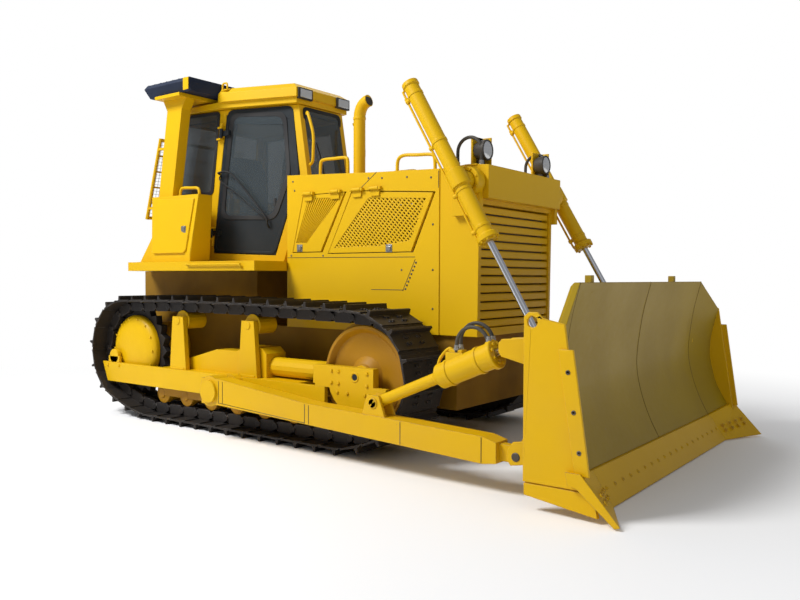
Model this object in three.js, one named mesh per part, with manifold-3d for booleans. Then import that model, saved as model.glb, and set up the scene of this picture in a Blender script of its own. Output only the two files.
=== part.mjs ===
// A crawler bulldozer with a semi-U blade, a narrow-nosed cab under a roll-over frame,
// and two push arms. Millimetres, X forward, Y to the machine's left, Z up, ground at Z = 0.
import * as THREE from "three";
import Module from "manifold-3d";
import { ConvexGeometry } from "three/addons/geometries/ConvexGeometry.js";
import { mergeVertices } from "three/addons/utils/BufferGeometryUtils.js";

const wasm = await Module();
wasm.setup();

// The part's own X runs from the drawbar's end to the end bits' tips, and its origin is midway.
const REAR_END = -640;
const FRONT_END = 5095;

// Clearances
const SEAT = 0.3;
const SWING = 6;

// Crawler tracks
const TRACK_Y = 940;
const SHOE_WIDTH = 500;
const SHOES = 42;
const LINK_BELOW = 50;
const LINK_ABOVE = 45;
const SHOE_THICK = 20;
const GROUSER = 40;
const GROUSER_WEAR = 0.5;
const GROUND_LINE = LINK_ABOVE + SHOE_THICK + GROUSER;
const SPROCKET = { x: -30, z: 630, r: 425 };
const IDLER = { x: 2880, z: 595, r: 440 };
const ROLLER_X = 444;
const ROLLER_STEP = 340;
const ROLLERS = 7;
const ROLLER_R = 95;
const CARRIERS = [{ x: 740, line: 1068 }, { x: 1670, line: 1062 }];
const CARRIER_R = 75;
const FRAME_OUT = 1125;
const FRAME_IN = 780;

// Hull, hood and radiator guard
const HULL_HALF = 560;
const HULL_REAR = -520;
const BELLY = 330;
const DECK_Z = 1480;
const HOOD_HALF = 600;
const SKIN = 30;
const HOOD_REAR = 1630;
const HOOD_FRONT = 3258;
const GUARD_FRONT = 3688;

// Push arms and blade
const TRUNNION = { x: 1540, z: 405, r: 60 };
const ARM_IN = 1255;
const ARM_OUT = 1400;
const ARM_MID = (ARM_IN + ARM_OUT) / 2;
const FRONT_PIN = { x: 4368, z: 262 };
const BRACE_PIN = { x: 4296, z: 916 };
const BRACE_FOOT = { x: 3251, z: 476 };
const BALL_GAP = 24;
const BLADE_OVERHANG = 125;
const BLADE_HALF = ARM_OUT + BLADE_OVERHANG;
const CREASE = 1210;
const MOLDBOARD = [[4687, 1316], [4630, 1090], [4594, 845], [4590, 690], [4621, 529], [4680, 360], [4757, 205]];

// Lift cylinders
const LIFT_Y = 800;
const YOKE = { x: 3560, z: 2045 };
const LIFT_EYE = { x: 4372, z: 660 };
const LIFT_BARREL_R = 58;
const LIFT_ROD_R = 24;

// Cab
const CAB_RINGS = [
  { z: DECK_Z + 6, rear: [20, 600], pillar: [525, 560], front: [1330, 345] },
  { z: 2290, rear: [0, 610], pillar: [622, 545], front: [1590, 300] },
  { z: 2940, rear: [40, 590], pillar: [705, 525], front: [1480, 300] },
];
const CAB_WALL = 45;

const YELLOW = 0xe8ab12;
const DARK = 0x23262b;
const STEEL = 0x4a3f38;

const group = new THREE.Group();
group.name = "crawler_bulldozer";

// A three.js geometry as a solid, and a solid as a named mesh.
function solid(geometry) {
  const bare = geometry.index ? geometry.toNonIndexed() : geometry.clone();
  bare.deleteAttribute("normal");
  bare.deleteAttribute("uv");
  const merged = mergeVertices(bare, 1e-3);
  return new wasm.Manifold(new wasm.Mesh({
    numProp: 3,
    vertProperties: new Float32Array(merged.attributes.position.array),
    triVerts: new Uint32Array(merged.index.array),
  }));
}

function add(name, body, color, rough = 0.5, metal = 0.1) {
  const mesh = body.getMesh();
  const geometry = new THREE.BufferGeometry();
  geometry.setAttribute("position", new THREE.BufferAttribute(new Float32Array(mesh.vertProperties), 3));
  geometry.setIndex(new THREE.BufferAttribute(new Uint32Array(mesh.triVerts), 1));
  geometry.translate(-(REAR_END + FRONT_END) / 2, 0, 0);
  geometry.computeVertexNormals();
  const item = new THREE.Mesh(geometry, new THREE.MeshStandardMaterial({ color, roughness: rough, metalness: metal }));
  item.name = name;
  group.add(item);
}

function join(list) {
  return list.reduce((sum, next) => sum.add(next));
}

function cut(body, list) {
  return list.reduce((rest, tool) => rest.subtract(tool), body);
}

function box(x0, x1, y0, y1, z0, z1) {
  const geometry = new THREE.BoxGeometry(x1 - x0, Math.abs(y1 - y0), z1 - z0);
  geometry.translate((x0 + x1) / 2, (y0 + y1) / 2, (z0 + z1) / 2);
  return solid(geometry);
}

// A box given for the left side by distances from the centreline, placed on side s.
function sideBox(s, x0, x1, y0, y1, z0, z1) {
  return box(x0, x1, Math.min(s * y0, s * y1), Math.max(s * y0, s * y1), z0, z1);
}

function outline(points) {
  return new THREE.Shape(points.map(([u, v]) => new THREE.Vector2(u, v)));
}

// An outline in X and Z, run across the machine from y0 to y1.
function across(points, y0, y1, hole) {
  const shape = outline(points);
  if (hole) {
    shape.holes.push(outline(hole));
  }
  const low = Math.min(y0, y1);
  const high = Math.max(y0, y1);
  const geometry = new THREE.ExtrudeGeometry(shape, { depth: high - low, bevelEnabled: false });
  geometry.rotateX(Math.PI / 2);
  geometry.translate(0, high, 0);
  return solid(geometry);
}

// An outline in X and Y, run upward from z0 to z1.
function upward(points, z0, z1) {
  const geometry = new THREE.ExtrudeGeometry(outline(points), { depth: z1 - z0, bevelEnabled: false });
  geometry.translate(0, 0, z0);
  return solid(geometry);
}

// A round bar between two points, with a second radius for a taper.
function bar(from, to, r, r2 = r, sides = 14) {
  const a = new THREE.Vector3(...from);
  const b = new THREE.Vector3(...to);
  const along = b.clone().sub(a);
  const geometry = new THREE.CylinderGeometry(r2, r, along.length(), sides);
  geometry.applyQuaternion(new THREE.Quaternion().setFromUnitVectors(new THREE.Vector3(0, 1, 0), along.clone().normalize()));
  geometry.translate((a.x + b.x) / 2, (a.y + b.y) / 2, (a.z + b.z) / 2);
  return solid(geometry);
}

function discY(x, z, r, y0, y1, sides = 16) {
  return bar([x, y0, z], [x, y1, z], r, r, sides);
}

function hull(points) {
  return solid(new ConvexGeometry(points.map((p) => new THREE.Vector3(...p))));
}

function circle(x, z, r, count) {
  return Array.from({ length: count }, (_, i) => {
    const a = (2 * Math.PI * i) / count;
    return [x + r * Math.cos(a), z + r * Math.sin(a)];
  });
}

// ---- Track loop: the chain's pitch line is the tight belt around sprocket, idler and rollers.
function convexLoop(points) {
  const sorted = points.slice().sort((a, b) => a[0] - b[0] || a[1] - b[1]);
  const half = (list) => {
    const chain = [];
    for (const p of list) {
      while (chain.length > 1) {
        const [a, b] = chain.slice(-2);
        if ((b[0] - a[0]) * (p[1] - a[1]) - (b[1] - a[1]) * (p[0] - a[0]) > 0) {
          break;
        }
        chain.pop();
      }
      chain.push(p);
    }
    return chain.slice(0, -1);
  };
  return [...half(sorted), ...half(sorted.reverse())];
}

const lastRoller = ROLLER_X + ROLLER_STEP * (ROLLERS - 1);
const pitchLine = convexLoop([
  ...circle(SPROCKET.x, SPROCKET.z, SPROCKET.r, 160),
  ...circle(IDLER.x, IDLER.z, IDLER.r, 160),
  [ROLLER_X - 190, GROUND_LINE],
  [lastRoller + 262, GROUND_LINE],
  ...CARRIERS.map((c) => [c.x, c.line]),
]);

function along(loop, count) {
  const lengths = loop.map((p, i) => Math.hypot(loop[(i + 1) % loop.length][0] - p[0], loop[(i + 1) % loop.length][1] - p[1]));
  const total = lengths.reduce((a, b) => a + b);
  const spots = [];
  let edge = 0;
  let start = 0;
  for (let i = 0; i < count; i += 1) {
    const want = (total * i) / count;
    while (start + lengths[edge] < want) {
      start += lengths[edge];
      edge += 1;
    }
    const a = loop[edge];
    const b = loop[(edge + 1) % loop.length];
    const t = (want - start) / lengths[edge];
    spots.push([a[0] + (b[0] - a[0]) * t, a[1] + (b[1] - a[1]) * t]);
  }
  return spots;
}

const pins = along(pitchLine, SHOES);
const shoes = pins.map((a, i) => {
  const b = pins[(i + 1) % SHOES];
  const length = Math.hypot(b[0] - a[0], b[1] - a[1]);
  const t = [(b[0] - a[0]) / length, (b[1] - a[1]) / length];
  return { mid: [(a[0] + b[0]) / 2, (a[1] + b[1]) / 2], t, n: [t[1], -t[0]], length };
});

function onShoe(shoe, u, h) {
  return [shoe.mid[0] + shoe.t[0] * u + shoe.n[0] * h, shoe.mid[1] + shoe.t[1] * u + shoe.n[1] * h];
}

function ring(spots) {
  return shoes.flatMap((shoe) => spots.map(([u, h]) => onShoe(shoe, u * shoe.length, h)));
}

const plateTop = LINK_ABOVE + SHOE_THICK;
const treadOuter = ring([[-0.45, plateTop], [0.2, plateTop], [0.28, GROUND_LINE], [0.36, plateTop]]);
const treadInner = ring([[0, LINK_ABOVE]]);
const linkOuter = ring([[0, LINK_ABOVE + 8]]);
const linkInner = ring([[0, -LINK_BELOW]]);

function nearest(loop, x, z) {
  return Math.min(...loop.map((a, i) => {
    const b = loop[(i + 1) % loop.length];
    const dx = b[0] - a[0];
    const dz = b[1] - a[1];
    const t = Math.min(1, Math.max(0, ((x - a[0]) * dx + (z - a[1]) * dz) / (dx * dx + dz * dz)));
    return Math.hypot(a[0] + dx * t - x, a[1] + dz * t - z);
  }));
}

const railTop = GROUND_LINE + LINK_BELOW;
const rollerZ = railTop + 0.6 + ROLLER_R;
const idlerTread = nearest(linkInner, IDLER.x, IDLER.z) - SEAT;

for (const s of [-1, 1]) {
  const side = s < 0 ? "right" : "left";
  const y = s * TRACK_Y;
  const sb = (...args) => sideBox(s, ...args);

  // Track: shoe plates with their grousers, and the two link rails inside them
  const plates = across(treadOuter, y - SHOE_WIDTH / 2, y + SHOE_WIDTH / 2, treadInner);
  const rails = [-1, 1].map((k) => across(linkOuter, y + k * 50, y + k * 105, linkInner));
  // Grouser tips are worn half a millimetre shorter towards the machine's middle
  const inner = s * (TRACK_Y - SHOE_WIDTH / 2);
  const wear = hull([REAR_END, FRONT_END].flatMap((x) => [
    [x, s * (TRACK_Y + SHOE_WIDTH / 2), 0], [x, inner, GROUSER_WEAR], [x, inner, -5], [x, s * (TRACK_Y + SHOE_WIDTH / 2), -5],
  ]));
  add(`track_${side}`, join([plates, ...rails]).subtract(wear), STEEL, 0.7, 0.5);

  // Final drive: case on the hull, sprocket seat and the domed outer cover
  const drive = join([
    discY(SPROCKET.x, SPROCKET.z, 260, s * (HULL_HALF + SEAT), s * 905, 18),
    discY(SPROCKET.x, SPROCKET.z, 200, s * 900, s * 980, 18),
    bar([SPROCKET.x, s * 976, SPROCKET.z], [SPROCKET.x, s * 1015, SPROCKET.z], 335, 335, 20),
    bar([SPROCKET.x, s * 1010, SPROCKET.z], [SPROCKET.x, s * 1050, SPROCKET.z], 300, 235, 16),
    bar([SPROCKET.x, s * 1045, SPROCKET.z], [SPROCKET.x, s * 1082, SPROCKET.z], 150, 120, 12),
  ]);
  add(`final_drive_${side}`, drive, YELLOW);

  // Sprocket: toothed ring between the link rails
  const teeth = Array.from({ length: 42 }, (_, i) => {
    const a = (2 * Math.PI * i) / 42;
    const r = i % 2 ? 375 : 428;
    return [SPROCKET.x + r * Math.cos(a), SPROCKET.z + r * Math.sin(a)];
  });
  const sprocket = across(teeth, y - 34, y + 34, circle(SPROCKET.x, SPROCKET.z, 200 + 3.5, 18));
  add(`sprocket_${side}`, sprocket, STEEL, 0.6, 0.6);

  // Idler: two treads and a centre flange on a hub
  const idler = join([
    discY(IDLER.x, IDLER.z, idlerTread, y - 105, y + 105, 24),
    discY(IDLER.x, IDLER.z, idlerTread + 30, y - 42, y + 42, 24),
    discY(IDLER.x, IDLER.z, 90, y - 120, y + 120, 14),
  ]);
  const dish = [-1, 1].map((k) => discY(IDLER.x, IDLER.z, idlerTread - 45, y + k * 60, y + k * 110, 20)
    .subtract(discY(IDLER.x, IDLER.z, 130, y + k * 50, y + k * 130, 14)));
  add(`idler_${side}`, cut(idler, dish), 0x8a4b22, 0.6, 0.3);

  // Roller frame: outer beam, top and inner plates, cross brace to the hull, arm trunnion
  const trunnionY = [FRAME_OUT - 5, ARM_OUT + 4];
  const frame = join([
    across([[-420, 500], [-340, 312], [2560, 312], [2560, 500]], s * 1090, s * FRAME_OUT),
    sb(490, 2250, FRAME_IN, FRAME_OUT, 440, 500),
    sb(490, 2250, FRAME_IN, FRAME_IN + 35, 312, 500),
    sb(860, 1120, HULL_HALF + SEAT, FRAME_IN + 10, 350, 480),
    discY(TRUNNION.x, TRUNNION.z, 120, s * (FRAME_OUT - 5), s * (FRAME_OUT + 70)),
    discY(TRUNNION.x, TRUNNION.z, TRUNNION.r, s * trunnionY[0], s * trunnionY[1]),
    discY(TRUNNION.x, TRUNNION.z, 92, s * (ARM_OUT + 0.5), s * (ARM_OUT + 22)),
  ]);
  // Lower rollers hung from the frame on one rail
  const rollers = Array.from({ length: ROLLERS }, (_, i) => {
    const x = ROLLER_X + i * ROLLER_STEP;
    return join([
      discY(x, rollerZ, ROLLER_R, y - 112, y + 112, 10),
      discY(x, rollerZ, 45, y - 122, y + 122, 8),
    ]);
  });
  const rail = sb(500, 2240, TRACK_Y - 40, TRACK_Y + 40, rollerZ, 440 - SEAT);
  const tail = sb(ROLLER_X - 50, lastRoller + 50, TRACK_Y + 112, TRACK_Y + 122, rollerZ - 30, rollerZ + 50);
  add(`lower_rollers_${side}`, join([...rollers, rail, tail]), 0x7a4322, 0.6, 0.3);

  // Carrier rollers and their posts
  const carriers = CARRIERS.map((c) => {
    const z = c.line - LINK_BELOW - CARRIER_R - 4;
    return join([
      discY(c.x, z, CARRIER_R, y - 105, y + 105, 16),
      discY(c.x, z, 38, y - 110 * s, y + 140 * s, 12),
      across([[c.x - 115, 490], [c.x + 115, 490], [c.x + 75, z + 40], [c.x - 75, z + 40]],
        s * (TRACK_Y + 120), s * (TRACK_Y + 165)),
    ]);
  });
  // Recoil spring housing on the frame
  const recoil = join([
    across([[770, 490], [1490, 490], [1490, 700], [1180, 700], [770, 590]],
      s * (TRACK_Y - 85), s * (TRACK_Y + 85)),
    across([[1480, 490], [1840, 490], [1840, 700], [1780, 748], [1540, 748], [1480, 700]],
      s * (TRACK_Y - 110), s * (TRACK_Y + 110)),
    bar([1830, y, 590], [2440, y, 590], 80, 80, 14),
  ]);
  add(`track_frame_${side}`, join([frame, ...carriers, recoil]), YELLOW);

  // Idler yoke: fork with a bearing block on each side of the idler, and its guard plate
  const guard = across(circle(IDLER.x, IDLER.z, 290, 28).filter(([, z]) => z < 560), s * 1090, s * FRAME_OUT);
  const yoke = join([
    sb(2440 + SEAT, 2462, 785, FRAME_OUT, 520, 660),
    sb(2460, 3040, 1062, FRAME_OUT, 500 + SEAT, 668),
    sb(2455, 3010, 785, 820 - SEAT, 500 + SEAT, 668),
    discY(IDLER.x, IDLER.z, 88, s * 1060.3, s * 1066, 14),
    guard.intersect(sb(2566, 3300, 1000, 1300, 200, 700)),
  ]);
  add(`idler_yoke_${side}`, yoke, YELLOW);
}


// ---- Hull: belly box and rear transmission case, with a bracket for the equaliser bar
const hullBody = join([
  box(HULL_REAR, 3400, -HULL_HALF, HULL_HALF, BELLY, 900),
  box(HULL_REAR, 1200, -HULL_HALF, HULL_HALF, 890, 1395 - SEAT),
]);
const engineBay = box(1250, 3350, -HULL_HALF + 60, HULL_HALF - 60, 400, 1000);
add("main_hull", hullBody.subtract(engineBay), YELLOW);

add("engine_block", join([
  box(1700, 3050, -330, 330, 400 + SEAT, 1500),
  box(1800, 2900, -220, 220, 1490, 1950),
]), 0x3a3a38, 0.7, 0.3);

// Radiator guard: deep frame at the nose, narrowing box at the top, with side cheeks
const cheek = [
  [GUARD_FRONT - 90, 900 + SEAT], [GUARD_FRONT - 78, 1925], [GUARD_FRONT, 1925], [GUARD_FRONT, 2170],
  [GUARD_FRONT - 168, 2185], [HOOD_FRONT + SEAT, 2172], [HOOD_FRONT + SEAT, 900 + SEAT],
];
const guardSolid = across(cheek, -593, 593);
const guardCore = box(HOOD_FRONT - 20, GUARD_FRONT - 150, -543, 543, 960, 1900);
const guardWindow = box(3400, GUARD_FRONT + 50, -555, 555, 960, 1890);
const yokePlates = [-1, 1].map((k) => across(
  [[3400, 1800], [3640, 1800], [3640, 2100], [3480, 2130], [3400, 2080]], k * 590, k * 640,
));
const yokePins = [-1, 1].map((k) => discY(YOKE.x, YOKE.z, 45, k * 620, k * 700, 14));
add("radiator_guard", join([cut(guardSolid, [guardCore, guardWindow]), ...yokePlates, ...yokePins]), YELLOW);

// Grille: horizontal slats between two stiles, set in the guard window
const slats = Array.from({ length: 10 }, (_, i) => across(
  [[3560, 985 + i * 92], [3590, 1015 + i * 92], [3590, 1030 + i * 92], [3560, 1000 + i * 92]], -554, 554,
));
const stiles = [-1, 0, 1].map((k) => box(3555, 3574, k * 534 - 20.7, k * 534 + 20.7, 960 + SEAT, 1890 - SEAT));
add("radiator_grille", join([...stiles, ...slats]), YELLOW);

// Hood: roof and sides with two door openings a side
const hoodLine = [[HOOD_REAR, 1000], [HOOD_REAR, 2240], [2630, 2193], [HOOD_FRONT, 2172], [HOOD_FRONT, 900 + SEAT], [HOOD_REAR, 900 + SEAT]];
const hoodOuter = across(hoodLine, -HOOD_HALF, HOOD_HALF);
const hoodInner = across([
  [HOOD_REAR + SKIN, 800], [HOOD_REAR + SKIN, 2208], [2630, 2160], [HOOD_FRONT + 50, 2140], [HOOD_FRONT + 50, 800],
], -HOOD_HALF + SKIN, HOOD_HALF - SKIN);
const LOUVRE_DOOR = [[1700, 1560], [2030, 1560], [2300, 2050], [1830, 2050]];
const MESH_DOOR = [[2120, 1545], [2990, 1545], [3200, 1995], [2700, 2030], [2480, 2050], [2385, 2050]];

// Gap at the slanted front edges, which sweep across the frame as a door swings up
const EDGE_GAP = 24;
function grow(points, gap, front = gap) {
  const cx = points.reduce((a, p) => a + p[0], 0) / points.length;
  const cz = points.reduce((a, p) => a + p[1], 0) / points.length;
  return points.map(([x, z]) => [x + (x > cx ? front : -gap), z + Math.sign(z - cz) * gap]);
}

const DOORS = [
  { name: "louvre_door", line: LOUVRE_DOOR, hinge: [1850, 2250, 2062] },
  { name: "mesh_door", line: MESH_DOOR, hinge: [2400, 2680, 2062] },
];
const hoodCuts = [];
const hoodPins = [];
for (const s of [-1, 1]) {
  const side = s < 0 ? "right" : "left";
  for (const door of DOORS) {
    const [x0, x1, z] = door.hinge;
    const y = s * (HOOD_HALF + 20);
    hoodCuts.push(across(grow(door.line, SWING, EDGE_GAP), s * (HOOD_HALF - SKIN - 30), s * (HOOD_HALF + 80)));
    const knuckles = [x0, x1 - 90].map((x) => bar([x, y, z], [x + 90, y, z], 16, 16, 10)
      .subtract(bar([x - 5, y, z], [x + 95, y, z], 9.2, 9.2, 8)));
    const leaves = [x0, x1 - 90].map((x) => sideBox(s, x, x + 90, HOOD_HALF + 6, HOOD_HALF + 14, z - 60, z));
    const leafTrim = [x0, x1 - 90].map((x) => bar([x - 5, y, z], [x + 95, y, z], 9.2, 9.2, 8));
    const slab = across(door.line, s * (HOOD_HALF - SKIN), s * HOOD_HALF);
    const handle = sideBox(s, door.line[1][0] - 200, door.line[1][0] - 90, HOOD_HALF - 10, HOOD_HALF + 18, 1575, 1605);
    const pads = [x0, x1 - 90].map((x) => sideBox(s, x, x + 90, HOOD_HALF - 10, HOOD_HALF + 12, z - 60, z - 30));
    add(`${door.name}_${side}`, cut(join([slab, handle, ...pads, ...leaves, ...knuckles]), leafTrim), YELLOW);
    for (const x of [x0, x1 - 90]) {
      hoodPins.push(bar([x - 20, y, z], [x + 110, y, z], 8, 8, 8));
      hoodPins.push(...[x - 22, x + 92].map((u) => sideBox(s, u, u + 20, HOOD_HALF - 10, HOOD_HALF + 30, z - 12, z + 12)));
    }
  }
}
const hoodShell = cut(hoodOuter, [hoodInner, ...hoodCuts]);
add("engine_hood", join([hoodShell, ...hoodPins]), YELLOW);

// Exhaust stack on the hood
const stack = join([
  bar([1960, 0, 2226.5 - 0], [1960, 0, 2290], 75, 75, 14),
  bar([1960, 0, 2280], [1960, 0, 2835], 55, 55, 14),
  bar([1952, 0, 2805], [2000, 0, 2905], 56, 56, 14),
  bar([1985, 0, 2885], [2055, 0, 2950], 56, 56, 14),
]);
const hoodCap = across(hoodLine, -HOOD_HALF, HOOD_HALF).translate([0, 0, SEAT]);
add("exhaust_stack", stack.subtract(hoodCap), YELLOW);

// Platform: deck over the tracks with cut corners
const deckPoints = [
  [-420, -600], [-420, 600], [-172, 1000], [1640, 1000], [1640, 620],
  [1624, 606], [1624, -606], [1640, -620], [1640, -1000], [-172, -1000],
];
add("platform", upward(deckPoints, 1395, DECK_Z), YELLOW);

// Cab: shell of three six-sided rings, hollowed, with door and window openings
function cabPoints(inset) {
  return CAB_RINGS.flatMap((r, i) => [r.rear, r.pillar, r.front].flatMap(([x, y], k) => [-1, 1].map((s) => [
    x + (k === 0 ? inset : k === 2 ? -inset : 0),
    s * (y - inset * (k === 2 ? 0.75 : 1)),
    r.z + (i === 2 ? -inset : i === 0 ? inset : 0),
  ])));
}

const cabOuter = hull(cabPoints(0));
const cabInner = hull(cabPoints(CAB_WALL));
const DOOR_LINE = [[575, 1575], [1240, 1550], [1510, 2287], [1425, 2850], [735, 2890]];
const DOOR_GLASS = [[690, 1960], [1240, 1940], [1400, 2300], [1320, 2770], [810, 2810]];
const SIDE_GLASS = [[110, 2150], [560, 2150], [640, 2850], [110, 2850]];
const openings = [];
const hinges = [];
for (const s of [-1, 1]) {
  const side = s < 0 ? "right" : "left";
  const doorway = across(grow(DOOR_LINE, SWING), s * 150, s * 700);
  openings.push(doorway);
  openings.push(across(SIDE_GLASS, s * 480, s * 700));
  const slab = cabOuter.subtract(cabInner).intersect(across(DOOR_LINE, s * 150, s * 700));
  const low = [572, s * 586, 1720];
  const high = [703, s * 556, 2780];
  const spot = (t) => low.map((v, i) => v + (high[i] - v) * t);
  const knuckles = [0, 0.9].map((t) => bar(spot(t), spot(t + 0.08), 18, 18, 10));
  const arms = [0, 0.9].map((t) => {
    const [x, y, z] = spot(t + 0.04);
    return join([[x, 12, 24], [x + 32, 12, 60]].map(([u, near, far]) => box(
      u, x + 90, Math.min(y - s * near, y - s * far), Math.max(y - s * near, y - s * far), z - 25, z + 25,
    )));
  });
  const bores = [0, 0.9].map((t) => bar(spot(t - 0.02), spot(t + 0.1), 10.2, 10.2, 8));
  const doorGlass = across(DOOR_GLASS, s * 150, s * 700);
  const shut = cut(cut(join([slab, ...arms]), bores), [doorGlass]);
  const doorBody = join([shut, ...knuckles.map((k, i) => k.subtract(bores[i]))]);
  add(`cab_door_${side}`, doorBody, DARK, 0.4, 0.2);
  const pane = cabOuter.subtract(hull(cabPoints(8))).intersect(across(grow(DOOR_GLASS, -SEAT), s * 150, s * 700));
  add(`door_glass_${side}`, pane, 0x1a2022, 0.1, 0.1);
  const sidePane = cabOuter.subtract(hull(cabPoints(8))).intersect(across(grow(SIDE_GLASS, -SEAT), s * 480, s * 700));
  add(`side_window_${side}`, sidePane, 0x1a2022, 0.1, 0.1);
  hinges.push(...[0, 0.9].map((t) => bar(spot(t - 0.02), spot(t + 0.1), 9, 9, 8)));
  hinges.push(...[-0.022, 0.0805, 0.878, 0.9805].map((t) => {
    const [x, y, z] = spot(t + 0.01);
    return box(x - 45, x + 12, Math.min(y + s * 14, y - s * 50), Math.max(y + s * 14, y - s * 50), z - 8, z + 8);
  }));
}
openings.push(upward([[1300, -245], [1700, -245], [1700, 245], [1300, 245]], 1950, 2870));
openings.push(upward([[-100, -500], [200, -500], [200, 500], [-100, 500]], 1950, 2870));
const cabShell = cut(cabOuter.subtract(cabInner), openings);
add("cab_shell", join([cabShell, ...hinges]), YELLOW);

const skin = cabOuter.subtract(hull(cabPoints(8)));
add("windscreen", skin.intersect(box(1300, 1700, -245 + SEAT, 245 - SEAT, 1950 + SEAT, 2870 - SEAT)), 0x1a2022, 0.1, 0.1);
add("rear_window", skin.intersect(box(-100, 200, -500 + SEAT, 500 - SEAT, 1950 + SEAT, 2870 - SEAT)), 0x1a2022, 0.1, 0.1);

// Cab roof: low behind, raised over the front where the lamps sit
const roofLine = [[20, 590], [700, 530], [1490, 340]];
const lowRoof = [3015, CAB_RINGS[2].z + SEAT].flatMap((z) => roofLine.flatMap(([x, y]) => [[x, y, z], [x, -y, z]]));
const visor = [
  ...[3010, 3090].flatMap((z) => [[900, 490], [1500, 345]].flatMap(([x, y]) => [[x, y, z], [x, -y, z]])),
  ...[[900, 450], [1440, 310]].flatMap(([x, y]) => [[x, y, 3146], [x, -y, 3146]]),
];
add("cab_roof", join([hull(lowRoof), hull(visor)]), YELLOW);

// Seat and console in the cab
add("seat", join([
  box(420, 900, -250, 250, 1890, 2000),
  box(400, 520, -240, 240, 1900, 2560),
  box(480, 840, -180, 180, 1531 + SEAT, 1900),
]), 0x191919, 0.9, 0);
add("console", join([
  box(1080, 1250, -200, 200, 1531 + SEAT, 1980),
  box(1040, 1150, -60, 60, 1960, 2060),
]), 0x202020, 0.8, 0);

// Roll-over frame: two posts that widen upward, a beam over the cab, and the canopy on it
const POST = [[DECK_Z + SEAT, -190, 250], [1800, 70, 280], [2930, 260, 480], [3050, 190, 560]];
const post = (s) => join(POST.slice(1).map(([z, x0, x1], i) => {
  const [low, a0, a1] = POST[i];
  return hull([[low, a0, a1], [z + (i < 2 ? 1 : 0), x0, x1]].flatMap(([h, u0, u1]) => [
    [u0, s * 745, h], [u1, s * 745, h], [u0, s * 850, h], [u1, s * 850, h],
  ]));
}));
add("rops_frame", join([post(-1), post(1), box(190, 560, -940, 940, 3030, 3060)]), YELLOW);
add("rops_canopy", hull([
  ...[[185, 945], [845, 945]].flatMap(([x, y]) => [[x, y, 3060 + SEAT], [x, -y, 3060 + SEAT]]),
  ...[[160, 950], [857, 950]].flatMap(([x, y]) => [[x, y, 3150], [x, -y, 3150]]),
  ...[[185, 925], [835, 925]].flatMap(([x, y]) => [[x, y, 3186], [x, -y, 3186]]),
]), 0x1b2333, 0.5, 0.2);

// Side boxes on the platform, fuel tank behind the cab, drawbar
for (const s of [-1, 1]) {
  const side = s < 0 ? "right" : "left";
  const shell = hull([
    ...[[114, 930], [692, 930], [692, 700], [114, 700]].map(([x, y]) => [x, s * y, DECK_Z + SEAT]),
    ...[[114, 930], [692, 930]].map(([x, y]) => [x, s * y, 1560]),
    ...[[84, 900], [735, 860], [735, 700], [84, 700]].map(([x, y]) => [x, s * y, 2110]),
  ]);
  add(`side_box_${side}`, shell.subtract(sideBox(s, 40, 345, 600, 850 + SEAT, 1400, 2200)), YELLOW);
}
add("fuel_tank", hull([
  ...[[-400, 560], [-60, 560]].flatMap(([x, y]) => [[x, y, DECK_Z + SEAT], [x, -y, DECK_Z + SEAT]]),
  ...[[-360, 560], [-60, 560]].flatMap(([x, y]) => [[x, y, 1890], [x, -y, 1890]]),
]), YELLOW);
add("drawbar", join([
  box(REAR_END, HULL_REAR - SEAT, -200, 200, 420, 470),
  box(REAR_END, HULL_REAR - SEAT, -200, 200, 560, 610),
  box(-560, HULL_REAR - SEAT, -200, 200, 430, 600),
]).subtract(bar([-600, 0, 400], [-600, 0, 640], 30, 30, 16)), YELLOW);

// Guard over the rear window: a leaning frame with cross bars, held off the cab on four struts
const GUARD_TOP = [-256, 2750];
const GUARD_FOOT = [-500, 1960];
const lean = (t) => GUARD_FOOT.map((v, i) => v + (GUARD_TOP[i] - v) * t);
const barAt = (t, r) => bar([lean(t)[0], -550, lean(t)[1]], [lean(t)[0], 550, lean(t)[1]], r, r, 8);
const uprights = [-1, 1].map((s) => bar([GUARD_FOOT[0], s * 550, GUARD_FOOT[1] - 15], [GUARD_TOP[0], s * 550, GUARD_TOP[1] + 15], 18, 18, 8));
const struts = [-1, 1].flatMap((s) => [0.12, 0.88].map((t) => box(
  lean(t)[0], 120, s * 550 - 12, s * 550 + 12, lean(t)[1] - 12, lean(t)[1] + 12,
)));
add("rear_guard", join([barAt(0, 18), barAt(1, 18), ...[0.2, 0.4, 0.6, 0.8].map((t) => barAt(t, 9)), ...uprights, ...struts])
  .subtract(cabOuter.translate([-SEAT, 0, 0])).subtract(cabOuter), YELLOW);

// Equaliser bar across both roller frames, under the hull
add("equaliser_bar", box(2090, 2200, -FRAME_IN + SEAT, FRAME_IN - SEAT, 240, BELLY - SEAT), YELLOW);

// ---- Push arms with the tilt cylinder on the right and the screw brace on the left
const armSide = [
  [1440, 300], [1640, 300], [2612, 258], [3493, 217], [4130, 186],
  [4230, 200], [4230, 330], [4130, 356], [3493, 382], [2612, 412], [1640, 512], [1440, 512],
];
const braceRun = [BRACE_PIN.x - BRACE_FOOT.x, BRACE_PIN.z - BRACE_FOOT.z];
const braceLength = Math.hypot(...braceRun);
const braceDir = braceRun.map((v) => v / braceLength);
const onBrace = (d, y) => [BRACE_FOOT.x + braceDir[0] * d, y, BRACE_FOOT.z + braceDir[1] * d];
const ballSocket = (pin, y, r) => discY(pin.x, pin.z, r, y - 30, y + 30, 14);

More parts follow.
